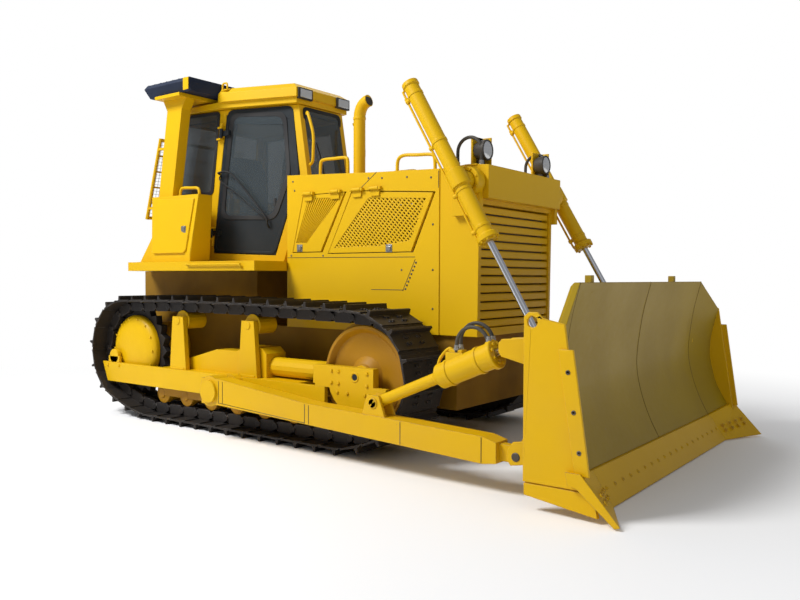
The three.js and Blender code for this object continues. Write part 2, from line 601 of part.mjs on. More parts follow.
for (const s of [-1, 1]) {
  const side = s < 0 ? "right" : "left";
  const y = s * ARM_MID;
  const beam = across(armSide, s * ARM_IN, s * ARM_OUT);
  const eye = discY(TRUNNION.x, TRUNNION.z, 125, s * ARM_IN, s * ARM_OUT, 28);
  const tongue = across([[4200, 215], [FRONT_PIN.x, 210], [FRONT_PIN.x, 314], [4200, 320]], y - 28, y + 28);
  const lugs = [-1, 1].map((k) => across(
    [[3150, 380], [3360, 372], [3300, 530], [3200, 530]], y + k * 42, y + k * 64,
  ));
  const parts = [beam, eye, tongue, discY(FRONT_PIN.x, FRONT_PIN.z, 56, y - 30, y + 30, 14), ...lugs];
  const footPin = discY(BRACE_FOOT.x, BRACE_FOOT.z, 24, y - 70, y + 70, 16);
  const bore = discY(TRUNNION.x, TRUNNION.z, TRUNNION.r + 2, y - 200, y + 200, 20);
  add(`push_arm_${side}`, join([...parts, footPin]).subtract(bore), YELLOW);
  if (s < 0) {
    const body = join([
      discY(BRACE_FOOT.x, BRACE_FOOT.z, 46, y - 38, y + 38, 14),
      bar(onBrace(20, y), onBrace(560, y), 40, 40, 14),
      bar(onBrace(530, y), onBrace(572, y), 46, 84, 16),
      bar(onBrace(572, y), onBrace(1000, y), 84, 84, 16),
      bar(onBrace(990, y), onBrace(1024, y), 96, 96, 16),
      box(3840, 3960, y - 50, y + 50, 780, 860),
    ]);
    const bores = [
      discY(BRACE_FOOT.x, BRACE_FOOT.z, 24.5, y - 100, y + 100, 16),
      bar(onBrace(640, y), onBrace(1100, y), 32.5, 32.5, 14),
    ];
    add("tilt_cylinder_barrel", cut(body, bores), YELLOW);
    add("tilt_cylinder_rod", join([
      bar(onBrace(720, y), onBrace(braceLength, y), 32, 32, 14),
      discY(BRACE_PIN.x, BRACE_PIN.z, 52, y - 30, y + 30, 14),
    ]), 0xc8c8c8, 0.15, 1);
  } else {
    const strut = join([
      discY(BRACE_FOOT.x, BRACE_FOOT.z, 46, y - 38, y + 38, 14),
      bar(onBrace(20, y), onBrace(360, y), 38, 38, 16),
      bar(onBrace(330, y), onBrace(860, y), 58, 58, 16),
      bar(onBrace(850, y), onBrace(braceLength, y), 32, 32, 16),
      discY(BRACE_PIN.x, BRACE_PIN.z, 52, y - 30, y + 30, 14),
    ]);
    add("screw_brace", strut.subtract(discY(BRACE_FOOT.x, BRACE_FOOT.z, 24.5, y - 100, y + 100, 16)), YELLOW);
  }
}

// ---- Blade: centre moldboard, two angled wings, side plates, and lugs behind
function loft(first, y0, second, y1) {
  const n = first.length;
  const points = [...first.map(([x, z]) => [x, y0, z]), ...second.map(([x, z]) => [x, y1, z])];
  const caps = THREE.ShapeUtils.triangulateShape(first.map(([x, z]) => new THREE.Vector2(x, z)), []);
  const faces = [];
  for (let i = 0; i < n; i += 1) {
    const j = (i + 1) % n;
    faces.push([i, n + i, j], [j, n + i, n + j]);
  }
  const area = THREE.ShapeUtils.area(first.map(([x, z]) => new THREE.Vector2(x, z)));
  for (const cap of caps) {
    const turn = THREE.ShapeUtils.area(cap.map((i) => new THREE.Vector2(...first[i])));
    const [a, b, c] = (turn > 0) === (area > 0) ? cap : [cap[0], cap[2], cap[1]];
    faces.push([a, b, c], [n + a, n + c, n + b]);
  }
  const flip = (area > 0) !== (y1 > y0);
  const geometry = new THREE.BufferGeometry();
  geometry.setAttribute("position", new THREE.Float32BufferAttribute(points.flat(), 3));
  geometry.setIndex(faces.flatMap(([a, b, c]) => (flip ? [a, c, b] : [a, b, c])));
  return solid(geometry);
}

const midBack = MOLDBOARD.map(([x, z], i) => [x - [40, 60, 70, 72, 72, 70, 66][i], z]).reverse();
const midProfile = [...MOLDBOARD, ...midBack];
const WING = [[4747, 1079], [4712, 950], [4684, 809], [4682, 656], [4728, 460], [4775, 360], [4830, 260]];
const wingProfile = [...WING, ...WING.map(([x, z]) => [x - 62, z]).reverse()];
const bladeParts = [across(midProfile, -CREASE - 1, CREASE + 1), across(
  [[4535, 420], [4620, 400], [4600, 300], [4520, 300], [4450, 340], [4450, 400]], -CREASE, CREASE)];
for (const s of [-1, 1]) {
  bladeParts.push(loft(midProfile, s * CREASE, wingProfile, s * (BLADE_HALF + 1)));
  const plate = across([
    [4490, 165], [4490, 1120], [4520, 1147], [4575, 1147], [4612, 1112], [4745, 1085], [4765, 950], [4885, 165],
  ], s * BLADE_HALF, s * (BLADE_HALF + 20));
  bladeParts.push(across([[4715, 945], [4806, 945], [4908, 250], [4818, 250]], s * (BLADE_HALF + 18), s * (BLADE_HALF + 38)));
  bladeParts.push(plate.subtract(discY(4545, 1090, 32, s * 1500, s * 1600, 16)));
  for (const k of [-1, 1]) {
    const y = s * ARM_MID + k * (30 + BALL_GAP);
    bladeParts.push(across([[4310, 205], [4650, 262], [4720, 300], [4720, 420], [4310, 340]], y, y + k * 22));
    bladeParts.push(across([[4245, 870], [4640, 780], [4690, 800], [4690, 1000], [4245, 970]], y, y + k * 18));
    const yl = s * LIFT_Y + k * 42;
    bladeParts.push(across([[4320, 590], [4535, 540], [4535, 800], [4320, 730]], yl, yl + k * 20));
  }
}
for (const y of [-990, 570]) {
  bladeParts.push(box(4625, 4670, y - 22, y + 22, 1290, 1360));
}
const blade = join(bladeParts);
add("blade", blade, YELLOW);

const edgeProfile = [[4690, 205 - SEAT], [4772, 205 - SEAT], [4904, 8], [4872, 8], [4750, 140], [4690, 165]];
const tipProfile = [[4775, 271 - SEAT], [4866, 271 - SEAT], [FRONT_END, 20], [5062, 8], [4840, 190], [4790, 200]];
add("cutting_edge", across(edgeProfile, -CREASE + 8, CREASE - 8), 0x57504a, 0.5, 0.8);
for (const s of [-1, 1]) {
  const skirt = across([[4500, 160], [4500, 92], [4950, 30], [4925, 160]], s * (BLADE_HALF - 4), s * (BLADE_HALF + 24));
  const bit = skirt.add(loft(edgeProfile, s * (CREASE - 8 + SEAT), tipProfile, s * 1590));
  const room = [[0, 0, -SEAT], [0.2, 0, -0.1], [-0.2, 0, 0.1], [0, 0.2, 0], [0, -0.2, 0]].map((v) => blade.translate(v));
  add(`end_bit_${s < 0 ? "right" : "left"}`, cut(bit, room), 0x57504a, 0.5, 0.8);
}

// ---- Lift cylinders: barrel on the guard's trunnion pin, rod to the blade
const liftRun = [LIFT_EYE.x - YOKE.x, LIFT_EYE.z - YOKE.z];
const liftLength = Math.hypot(...liftRun);
const liftDir = liftRun.map((v) => v / liftLength);
for (const s of [-1, 1]) {
  const side = s < 0 ? "right" : "left";
  const y = s * LIFT_Y;
  const onLift = (d) => [YOKE.x + liftDir[0] * d, y, YOKE.z + liftDir[1] * d];
  const barrel = join([
    bar(onLift(-860), onLift(500), LIFT_BARREL_R, LIFT_BARREL_R, 14),
    bar(onLift(-875), onLift(-830), 68, 68, 14),
    bar(onLift(470), onLift(512), 82, 82, 14),
    bar(onLift(-60), onLift(60), 76, 76, 14),
    discY(YOKE.x, YOKE.z, 70, s * 662, s * 780, 14),
  ]);
  const bores = [
    bar(onLift(-800), onLift(600), LIFT_ROD_R + 0.5, LIFT_ROD_R + 0.5, 16),
    discY(YOKE.x, YOKE.z, 47, s * 600, s * 700.5, 20),
  ];
  add(`lift_cylinder_${side}`, cut(barrel, bores), YELLOW);
  add(`lift_rod_${side}`, join([
    bar(onLift(100), onLift(liftLength), LIFT_ROD_R, LIFT_ROD_R, 16),
    discY(LIFT_EYE.x, LIFT_EYE.z, 46, y - 30, y + 30, 14),
  ]), 0xc8c8c8, 0.15, 1);
}

// Work lamps on the guard and in the roof front
const lamp = (x, y, z) => join([bar([x - 60, y, z], [x + 60, y, z], 60, 78, 14), box(x - 40, x + 20, y - 12, y + 12, z - 130, z - 40)]);
const guardTop = across(cheek, -593, 593).translate([0, 0, SEAT]);
add("guard_lamps", join([
  lamp(3560, -480, 2295), lamp(3560, 480, 2295), box(3530, 3560, -490, 490, 2175, 2200),
]).subtract(guardTop), 0x2a2a2a, 0.4, 0.3);

export default group;
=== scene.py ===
import bpy
import bmesh
import math
from mathutils import Matrix, Vector
from mathutils.geometry import tessellate_polygon


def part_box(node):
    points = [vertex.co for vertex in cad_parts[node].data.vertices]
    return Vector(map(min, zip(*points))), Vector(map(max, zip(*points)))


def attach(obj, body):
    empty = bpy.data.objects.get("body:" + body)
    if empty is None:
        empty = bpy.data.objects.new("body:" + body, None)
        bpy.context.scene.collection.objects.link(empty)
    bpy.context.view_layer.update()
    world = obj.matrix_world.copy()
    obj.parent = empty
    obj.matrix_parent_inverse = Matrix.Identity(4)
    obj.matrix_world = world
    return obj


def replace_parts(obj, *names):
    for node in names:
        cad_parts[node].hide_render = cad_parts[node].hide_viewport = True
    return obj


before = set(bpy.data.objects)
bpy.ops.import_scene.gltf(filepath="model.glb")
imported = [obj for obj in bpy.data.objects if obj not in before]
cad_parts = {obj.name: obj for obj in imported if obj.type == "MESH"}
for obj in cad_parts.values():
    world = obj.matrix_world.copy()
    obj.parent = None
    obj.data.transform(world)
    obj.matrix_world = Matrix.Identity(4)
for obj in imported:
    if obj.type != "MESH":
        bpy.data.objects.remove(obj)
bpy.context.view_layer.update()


# Viewpoint: a camera on a stand off the machine's front right corner, at the height of an eye, turned back
# along the hood and tipped a little down.
EYE = Vector((4.4115, -5.577, 1.343))
YAW, PITCH, ROLL = (math.radians(a) for a in (37.018, -1.660, 0.211))
look = Vector((-math.sin(YAW) * math.cos(PITCH), math.cos(YAW) * math.cos(PITCH), math.sin(PITCH)))
level = Vector((math.cos(YAW), math.sin(YAW), 0))
upright = level.cross(look)
right = math.cos(ROLL) * level + math.sin(ROLL) * upright
above = -math.sin(ROLL) * level + math.cos(ROLL) * upright
camera = bpy.data.objects.new("camera", bpy.data.cameras.new("camera"))
camera.data.sensor_width = 36
camera.data.lens = 35.352405
camera.data.clip_end = 200
camera.matrix_world = Matrix((
    (right.x, above.x, -look.x, EYE.x),
    (right.y, above.y, -look.y, EYE.y),
    (right.z, above.z, -look.z, EYE.z),
    (0, 0, 0, 1),
))
bpy.context.scene.collection.objects.link(camera)
bpy.context.scene.camera = camera


# Studio: a broad key lamp high on the machine's right, a weak fill before it and a softer lamp behind.
# The pale matt floor holds the shadow and fades into a white backdrop.
bpy.context.scene.view_settings.view_transform = "Standard"


def soft_light(name, place, aim, size, watts):
    lamp = bpy.data.lights.new(name, "AREA")
    lamp.shape = "SQUARE"
    lamp.size = size
    lamp.energy = watts
    holder = bpy.data.objects.new(name, lamp)
    holder.location = place
    holder.rotation_euler = (Vector(aim) - Vector(place)).to_track_quat("-Z", "Y").to_euler()
    bpy.context.scene.collection.objects.link(holder)


soft_light("key", (-4.0, -7.6, 9.6), (0, 0, 1.0), 3.5, 1500)
soft_light("fill", (8.5, -6.0, 6.0), (0.5, 0, 1.0), 6.0, 35)
soft_light("back", (-5.0, 7.0, 6.0), (0, 0, 1.2), 6.0, 200)

world = bpy.data.worlds.new("studio")
bpy.context.scene.world = world
world.use_nodes = True
sky = world.node_tree
sky.nodes.clear()
seen = sky.nodes.new("ShaderNodeLightPath")
pick = sky.nodes.new("ShaderNodeMath")
pick.operation = "MAXIMUM"
ambient = sky.nodes.new("ShaderNodeBackground")
ambient.inputs["Color"].default_value = (0.93, 0.95, 1.0, 1)
ambient.inputs["Strength"].default_value = 0.34
backdrop = sky.nodes.new("ShaderNodeBackground")
backdrop.inputs["Color"].default_value = (1, 1, 1, 1)
both = sky.nodes.new("ShaderNodeMixShader")
sky_out = sky.nodes.new("ShaderNodeOutputWorld")
sky.links.new(seen.outputs["Is Camera Ray"], pick.inputs[0])
sky.links.new(seen.outputs["Is Transmission Ray"], pick.inputs[1])
sky.links.new(pick.outputs[0], both.inputs["Fac"])
sky.links.new(ambient.outputs[0], both.inputs[1])
sky.links.new(backdrop.outputs[0], both.inputs[2])
sky.links.new(both.outputs[0], sky_out.inputs["Surface"])

floor_mesh = bpy.data.meshes.new("studio_floor")
floor_mesh.from_pydata([(-40, -40, 0), (40, -40, 0), (40, 40, 0), (-40, 40, 0)], [], [(0, 1, 2, 3)])
floor = bpy.data.objects.new("studio_floor", floor_mesh)
bpy.context.scene.collection.objects.link(floor)
floor_paint = bpy.data.materials.new("floor_paint")
floor_paint.use_nodes = True
floor_shader = floor_paint.node_tree.nodes["Principled BSDF"]
floor_shader.inputs["Base Color"].default_value = (0.93, 0.93, 0.93, 1)
floor_shader.inputs["Roughness"].default_value = 0.9
floor_tree = floor_paint.node_tree
floor_place = floor_tree.nodes.new("ShaderNodeTexCoord")
floor_reach = floor_tree.nodes.new("ShaderNodeVectorMath")
floor_reach.operation = "LENGTH"
floor_fade = floor_tree.nodes.new("ShaderNodeMapRange")
floor_fade.interpolation_type = "SMOOTHSTEP"
floor_fade.inputs["From Min"].default_value = 2.4
floor_fade.inputs["From Max"].default_value = 7.0
floor_glow = floor_tree.nodes.new("ShaderNodeEmission")
floor_mix = floor_tree.nodes.new("ShaderNodeMixShader")
for a, b in (
    (floor_place.outputs["Object"], floor_reach.inputs[0]), (floor_reach.outputs["Value"], floor_fade.inputs["Value"]),
    (floor_fade.outputs["Result"], floor_mix.inputs["Fac"]), (floor_shader.outputs[0], floor_mix.inputs[1]),
    (floor_glow.outputs[0], floor_mix.inputs[2]), (floor_mix.outputs[0], floor_tree.nodes["Material Output"].inputs["Surface"]),
):
    floor_tree.links.new(a, b)
floor.data.materials.append(floor_paint)


# Machine paint: sprayed yellow enamel over plate and castings, glossy on the sheets, chipped on the arms and
# soaked with dust and oil on the hull, whose dark tone is also painted shade for the shadow under the deck. Worn
# edges, stains, dust and chips come from one group of nodes, which the later finishes share.
wear = bpy.data.node_groups.new("surface_wear", "ShaderNodeTree")
for socket, kind, value in (
    ("Paint", "NodeSocketColor", (0.8, 0.5, 0.05, 1)), ("Shade", "NodeSocketColor", (0.6, 0.35, 0.03, 1)),
    ("Bare", "NodeSocketColor", (0.2, 0.17, 0.15, 1)), ("Dust", "NodeSocketColor", (0.45, 0.38, 0.28, 1)),
    ("Edge Wear", "NodeSocketFloat", 0.3), ("Chips", "NodeSocketFloat", 0.2), ("Dust Amount", "NodeSocketFloat", 0.2),
    ("Gloss", "NodeSocketFloat", 0.4), ("Round", "NodeSocketFloat", 0.006), ("Grain", "NodeSocketFloat", 60.0),
):
    made = wear.interface.new_socket(socket, in_out="INPUT", socket_type=kind)
    made.default_value = value
for socket, kind in (
    ("Color", "NodeSocketColor"), ("Roughness", "NodeSocketFloat"), ("Height", "NodeSocketFloat"), ("Normal", "NodeSocketVector"),
):
    wear.interface.new_socket(socket, in_out="OUTPUT", socket_type=kind)


def wear_node(kind, **settings):
    node = wear.nodes.new(kind)
    for key, value in settings.items():
        setattr(node, key, value)
    return node


def wear_math(operation, a, b, clamp=False):
    node = wear_node("ShaderNodeMath", operation=operation, use_clamp=clamp)
    for i, value in enumerate((a, b)):
        if isinstance(value, (int, float)):
            node.inputs[i].default_value = value
        else:
            wear.links.new(value, node.inputs[i])
    return node.outputs[0]


def wear_mix(factor, a, b):
    node = wear_node("ShaderNodeMix", data_type="RGBA")
    wear.links.new(factor, node.inputs["Factor"])
    wear.links.new(a, node.inputs[6])
    wear.links.new(b, node.inputs[7])
    return node.outputs[2]


def wear_noise(scale, detail):
    node = wear_node("ShaderNodeTexNoise")
    node.inputs["Scale"].default_value = scale
    node.inputs["Detail"].default_value = detail
    wear.links.new(spot.outputs["Object"], node.inputs["Vector"])
    return node.outputs["Fac"]


given = wear_node("NodeGroupInput").outputs
spot = wear_node("ShaderNodeTexCoord")
rounded = wear_node("ShaderNodeBevel", samples=4)
wear.links.new(given["Round"], rounded.inputs["Radius"])
true_face = wear_node("ShaderNodeNewGeometry")
turn = wear_node("ShaderNodeVectorMath", operation="DOT_PRODUCT")
wear.links.new(rounded.outputs[0], turn.inputs[0])
wear.links.new(true_face.outputs["Normal"], turn.inputs[1])
edge = wear_math("MULTIPLY", wear_math("SUBTRACT", 1.0, turn.outputs["Value"]), 9.0, True)
broad = wear_noise(1.7, 4)
fine = wear_noise(24, 6)
chip_noise = wear_noise(46, 3)
broken = wear_math("MULTIPLY", wear_math("SUBTRACT", fine, 0.42), 6.0, True)
edge_mask = wear_math("MULTIPLY", wear_math("MULTIPLY", edge, broken), given["Edge Wear"], True)
chip_line = wear_math("SUBTRACT", 0.84, wear_math("MULTIPLY", given["Chips"], 0.35))
chip_mask = wear_math("MULTIPLY", wear_math("SUBTRACT", chip_noise, chip_line), 30.0, True)
bare_mask = wear_math("MAXIMUM", edge_mask, chip_mask)
dust_spread = wear_math("MULTIPLY", wear_math("SUBTRACT", broad, 0.38), 3.0, True)
dust_mask = wear_math("MULTIPLY", dust_spread, given["Dust Amount"], True)
toned = wear_mix(wear_math("MULTIPLY", broad, 0.55), given["Paint"], given["Shade"])
dusty = wear_mix(dust_mask, toned, given["Dust"])
final_tone = wear_mix(bare_mask, dusty, given["Bare"])
given_out = wear_node("NodeGroupOutput").inputs
wear.links.new(final_tone, given_out["Color"])
dulled = wear_math("ADD", dust_mask, wear_math("MULTIPLY", fine, 0.3))
rough = wear_math("ADD", given["Gloss"], wear_math("MULTIPLY", dulled, 0.4))
wear.links.new(rough, given_out["Roughness"])
grain = wear_node("ShaderNodeTexNoise")
grain.inputs["Detail"].default_value = 4
wear.links.new(given["Grain"], grain.inputs["Scale"])
wear.links.new(spot.outputs["Object"], grain.inputs["Vector"])
wear.links.new(wear_math("SUBTRACT", grain.outputs["Fac"], wear_math("MULTIPLY", bare_mask, 0.6)), given_out["Height"])
wear.links.new(rounded.outputs[0], given_out["Normal"])


def finish(name, paint, shade, bare, gloss, edges=0.3, chips=0.1, dust=0.15, metallic=0.0, coat=0.0, grain_size=60, bump=0.05,
           corner=0.006, dust_tone=(0.42, 0.35, 0.24)):
    material = bpy.data.materials.new(name)
    material.use_nodes = True
    tree = material.node_tree
    shader = tree.nodes["Principled BSDF"]
    worn = tree.nodes.new("ShaderNodeGroup")
    worn.node_tree = wear
    for key, tone in (("Paint", paint), ("Shade", shade), ("Bare", bare), ("Dust", dust_tone)):
        worn.inputs[key].default_value = (*tone, 1)
    for key, value in (("Edge Wear", edges), ("Chips", chips), ("Dust Amount", dust), ("Gloss", gloss), ("Round", corner),
                       ("Grain", grain_size)):
        worn.inputs[key].default_value = value
    relief = tree.nodes.new("ShaderNodeBump")
    relief.inputs["Strength"].default_value = bump
    relief.inputs["Distance"].default_value = 0.004
    for source, result, target, key in (
        (worn, "Color", shader, "Base Color"), (worn, "Roughness", shader, "Roughness"), (worn, "Height", relief, "Height"),
        (worn, "Normal", relief, "Normal"), (relief, "Normal", shader, "Normal"),
    ):
        tree.links.new(source.outputs[result], target.inputs[key])
    for key, value in (("Metallic", metallic), ("Coat Weight", coat), ("Specular IOR Level", 0.2), ("Coat Roughness", 0.25)):
        shader.inputs[key].default_value = value
    return material


def dress(material, *nodes):
    for node in nodes:
        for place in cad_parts[node].material_slots:
            place.link = "OBJECT"
            place.material = material


yellow_paint = finish("yellow_paint", (0.70, 0.425, 0.0), (0.64, 0.36, 0.0), (0.24, 0.14, 0.04), 0.40, edges=0.22, chips=0.0,
                      dust=0.07, coat=0.06, dust_tone=(0.50, 0.30, 0.02))
dress(yellow_paint, "radiator_guard", "engine_hood", "platform", "cab_shell", "cab_roof", "rops_frame", "fuel_tank",
      "drawbar", "exhaust_stack", "rear_guard")
for side in ("right", "left"):
    dress(yellow_paint, f"track_frame_{side}", f"idler_yoke_{side}", f"side_box_{side}", f"louvre_door_{side}",
          f"mesh_door_{side}")
# Hull and equaliser bar: grimy yellow darkened into painted shade, as if under the deck and behind the track frames.
hull_grime_and_shade = finish("hull_grime_and_shade", (0.34, 0.175, 0.002), (0.19, 0.085, 0.002), (0.10, 0.07, 0.04), 0.5, edges=0.4, chips=0.1,
                    dust=0.5, grain_size=30, bump=0.15, dust_tone=(0.09, 0.055, 0.02))
dress(hull_grime_and_shade, "main_hull", "equaliser_bar")
arm_paint = finish("arm_paint", (0.70, 0.42, 0.0), (0.60, 0.32, 0.0), (0.22, 0.14, 0.08), 0.34, edges=0.75, chips=0.22, dust=0.16,
                   coat=0.05, dust_tone=(0.50, 0.30, 0.06))
dress(arm_paint, "push_arm_right", "push_arm_left", "screw_brace", "cutting_edge", "end_bit_right", "end_bit_left")


# Dark parts: the cab doors in satin black, the canopy in navy, the iron of the engine, and the console in
# moulded plastic. The doors and canopy are folded sheet, sprayed and baked.
door_paint = finish("door_paint", (0.014, 0.019, 0.023), (0.010, 0.013, 0.016), (0.12, 0.12, 0.12), 0.32, dust=0.18,
                    dust_tone=(0.08, 0.085, 0.09))
canopy_paint = finish("canopy_paint", (0.012, 0.020, 0.045), (0.009, 0.015, 0.034), (0.10, 0.11, 0.14), 0.5, edges=0.4, dust=0.15,
                      dust_tone=(0.06, 0.08, 0.13))
engine_iron = finish("engine_iron", (0.06, 0.055, 0.05), (0.04, 0.035, 0.03), (0.16, 0.13, 0.1), 0.6, dust=0.5, grain_size=120,
                     bump=0.3)
seat_cloth = finish("seat_cloth", (0.03, 0.03, 0.034), (0.022, 0.022, 0.026), (0.05, 0.05, 0.05), 0.85, dust=0.2, grain_size=420,
                    bump=0.4)
console_plastic = finish("console_plastic", (0.035, 0.035, 0.037), (0.028, 0.028, 0.03), (0.07, 0.07, 0.07), 0.55, grain_size=300,
                         bump=0.25)
dress(door_paint, "cab_door_right", "cab_door_left")
dress(canopy_paint, "rops_canopy")
dress(engine_iron, "engine_block")
dress(console_plastic, "console", "seat")


# Tinted cab glazing: thin grey panes of toughened glass, held in the shell and the doors by rubber, with a
# faint film of dust that lets less light through in places.
tinted = bpy.data.materials.new("tinted_glass")
tinted.use_nodes = True
pane_tree = tinted.node_tree
pane_shader = pane_tree.nodes["Principled BSDF"]
pane_shader.inputs["Base Color"].default_value = (0.055, 0.070, 0.078, 1)
pane_shader.inputs["Roughness"].default_value = 0.04
pane_shader.inputs["Specular IOR Level"].default_value = 0.7
pane_place = pane_tree.nodes.new("ShaderNodeTexCoord")
film = pane_tree.nodes.new("ShaderNodeTexNoise")
film.inputs["Scale"].default_value = 3.0
film_range = pane_tree.nodes.new("ShaderNodeMapRange")
film_range.inputs["To Min"].default_value = 0.50
film_range.inputs["To Max"].default_value = 0.72
pane_tree.links.new(pane_place.outputs["Object"], film.inputs["Vector"])
pane_tree.links.new(film.outputs["Fac"], film_range.inputs["Value"])
pane_tree.links.new(film_range.outputs["Result"], pane_shader.inputs["Alpha"])
dress(tinted, "windscreen", "rear_window", "door_glass_right", "door_glass_left", "side_window_right", "side_window_left")


# Crawler tracks: forty-two pressed shoes with one grouser each, bolted to two rows of forged links
# whose pins and bushings lie between them; bare steel, dark with soil, polished on the grouser tips.
# Lengths are millimetres from the sprocket line, and the machine's middle lies 2227.5 ahead of it.
MIDWAY = 2227.5


def at(x, y, z):
    return Vector(((x - MIDWAY) / 1000, y / 1000, z / 1000))


def band(bm, low, high):
    for i in range(len(low)):
        j = (i + 1) % len(low)
        bm.faces.new([low[i], low[j], high[j], high[i]])


def prism(bm, low, high):
    low = [bm.verts.new(corner) for corner in low]
    high = [bm.verts.new(corner) for corner in high]
    bm.faces.new(low)
    bm.faces.new(list(reversed(high)))
    band(bm, low, high)


def laid_out_tree():
    tree = bpy.data.node_groups.new("laid_out", "GeometryNodeTree")
    for socket, kind in (("Geometry", "Geometry"), ("Shape", "Object"), ("Finish", "Material")):
        tree.interface.new_socket(socket, in_out="INPUT", socket_type="NodeSocket" + kind)
    tree.interface.new_socket("Size", in_out="INPUT", socket_type="NodeSocketFloat").default_value = 1.0
    tree.interface.new_socket("Geometry", in_out="OUTPUT", socket_type="NodeSocketGeometry")
    source = tree.nodes.new("NodeGroupInput")
    sink = tree.nodes.new("NodeGroupOutput")
    shape = tree.nodes.new("GeometryNodeObjectInfo")
    places = tree.nodes.new("GeometryNodeInstanceOnPoints")
    facing = tree.nodes.new("GeometryNodeInputNamedAttribute")
    facing.data_type = "FLOAT_VECTOR"
    facing.inputs["Name"].default_value = "turn"
    real = tree.nodes.new("GeometryNodeRealizeInstances")
    coat = tree.nodes.new("GeometryNodeSetMaterial")
    for start, result, end, key in (
        (source, "Shape", shape, "Object"), (source, "Geometry", places, "Points"), (shape, "Geometry", places, "Instance"),
        (facing, 0, places, "Rotation"), (source, "Size", places, "Scale"), (places, 0, real, 0),
        (real, 0, coat, "Geometry"), (source, "Finish", coat, "Material"), (coat, 0, sink, "Geometry"),
    ):
        tree.links.new(start.outputs[result], end.inputs[key])
    return tree


laid_out = laid_out_tree()


def set_out(name, shape_bm, spots, body, material, sharp=32):
    for face in shape_bm.faces:
        face.smooth = True
    bmesh.ops.recalc_face_normals(shape_bm, faces=shape_bm.faces)
    for crease in shape_bm.edges:
        crease.smooth = crease.is_boundary or crease.calc_face_angle(0) < math.radians(sharp)
    shape_mesh = bpy.data.meshes.new(name + "_shape")
    shape_bm.to_mesh(shape_mesh)
    shape_bm.free()
    shape = bpy.data.objects.new(name + "_shape", shape_mesh)
    bpy.context.scene.collection.objects.link(shape)
    points = bpy.data.meshes.new(name + "_places")
    points.from_pydata([tuple(place) for place, _ in spots], [], [])
    turns = points.attributes.new("turn", "FLOAT_VECTOR", "POINT")
    for i, (_, turning) in enumerate(spots):
        turns.data[i].vector = turning
    carrier = bpy.data.objects.new(name + "_places", points)
    bpy.context.scene.collection.objects.link(carrier)
    spread = carrier.modifiers.new("laid_out", "NODES")
    spread.node_group = laid_out
    keys = {item.name: item.identifier for item in laid_out.interface.items_tree if item.in_out == "INPUT"}
    spread[keys["Shape"]] = shape
    spread[keys["Finish"]] = material
    spread[keys["Size"]] = 1.0
    bpy.context.view_layer.update()
    graph = bpy.context.evaluated_depsgraph_get()
    mesh = bpy.data.meshes.new_from_object(carrier.evaluated_get(graph))
    bpy.data.objects.remove(carrier)
    bpy.data.objects.remove(shape)
    mesh.name = name
    piece = bpy.data.objects.new(name, mesh)
    bpy.context.scene.collection.objects.link(piece)
    if not mesh.materials:
        mesh.materials.append(material)
    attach(piece, body)
    return piece


track_steel = finish("track_steel", (0.040, 0.036, 0.034), (0.021, 0.019, 0.019), (0.18, 0.17, 0.16), 0.46, edges=0.7, chips=0.12,
                     dust=0.25, metallic=0.55, grain_size=35, bump=0.5, dust_tone=(0.10, 0.075, 0.05))
SPROCKET_CENTRE, SPROCKET_R = (-30, 630), 425
IDLER_CENTRE, IDLER_R = (2880, 595), 440
CHAIN_FOOT = 105
CARRIERS = ((740, 1068), (1670, 1062))
CHAIN_Y, SHOE_HALF, GROUSER_TIP, SHOE_COUNT = 940, 248, 103, 42


def rim(centre, r, count=160):
    return [(centre[0] + r * math.cos(2 * math.pi * i / count), centre[1] + r * math.sin(2 * math.pi * i / count))
            for i in range(count)]


def tight_belt(points):
    points = sorted(points)

    def half(ordered):
        chain = []
        for p in ordered:
            while len(chain) > 1:
                (ax, az), (bx, bz) = chain[-2:]
                if (bx - ax) * (p[1] - az) - (bz - az) * (p[0] - ax) > 0:
                    break
                chain.pop()
            chain.append(p)
        return chain[:-1]

    return half(points) + half(points[::-1])


belt = tight_belt(rim(SPROCKET_CENTRE, SPROCKET_R) + rim(IDLER_CENTRE, IDLER_R)
                  + [(254, CHAIN_FOOT), (2746, CHAIN_FOOT), *CARRIERS])
stretches = [math.dist(a, b) for a, b in zip(belt, belt[1:] + belt[:1])]
pins = []
for i in range(SHOE_COUNT):
    want = sum(stretches) * i / SHOE_COUNT
    k = 0
    while want > stretches[k]:
        want -= stretches[k]
        k += 1
    a, b = belt[k], belt[(k + 1) % len(belt)]
    pins.append((a[0] + (b[0] - a[0]) * want / stretches[k], a[1] + (b[1] - a[1]) * want / stretches[k]))
PITCH_LENGTH = sum(math.dist(a, b) for a, b in zip(pins, pins[1:] + pins[:1])) / SHOE_COUNT


def shoe_shape():
    bm = bmesh.new()
    half = PITCH_LENGTH / 2

    def bar(outline, y0, y1):
        prism(bm, [(x / 1000, y0 / 1000, z / 1000) for x, z in outline], [(x / 1000, y1 / 1000, z / 1000) for x, z in outline])

    bar([(-half + 6, 47), (half - 14, 45), (half + 28, 37), (half + 28, 43), (half + 5, 46), (half + 2, 56), (half * 0.72, 62),
         (half * 0.66, GROUSER_TIP), (half * 0.50, GROUSER_TIP), (half * 0.42, 64), (-half + 30, 60), (-half + 6, 64)],
        -SHOE_HALF, SHOE_HALF)
    for k in (-1, 1):
        near, far = sorted((k * 52, k * 100))
        bar([(-half + 4, -20), (-half + 26, -46), (half - 30, -48), (half - 4, -24), (half - 4, 18), (half - 40, 44),
             (-half + 40, 44), (-half + 4, 18)], near, far)
        for x in (-half * 0.42, half * 0.12):
            for y in (k * 62, k * 96):
                low, high = [[bm.verts.new((u / 1000, v / 1000, z)) for u, v in rim((x, y), 13, 6)] for z in (0.058, 0.074)]
                bm.faces.new(high)
                band(bm, low, high)
    bar(rim((half, -4), 27, 10), -112, 112)
    return bm


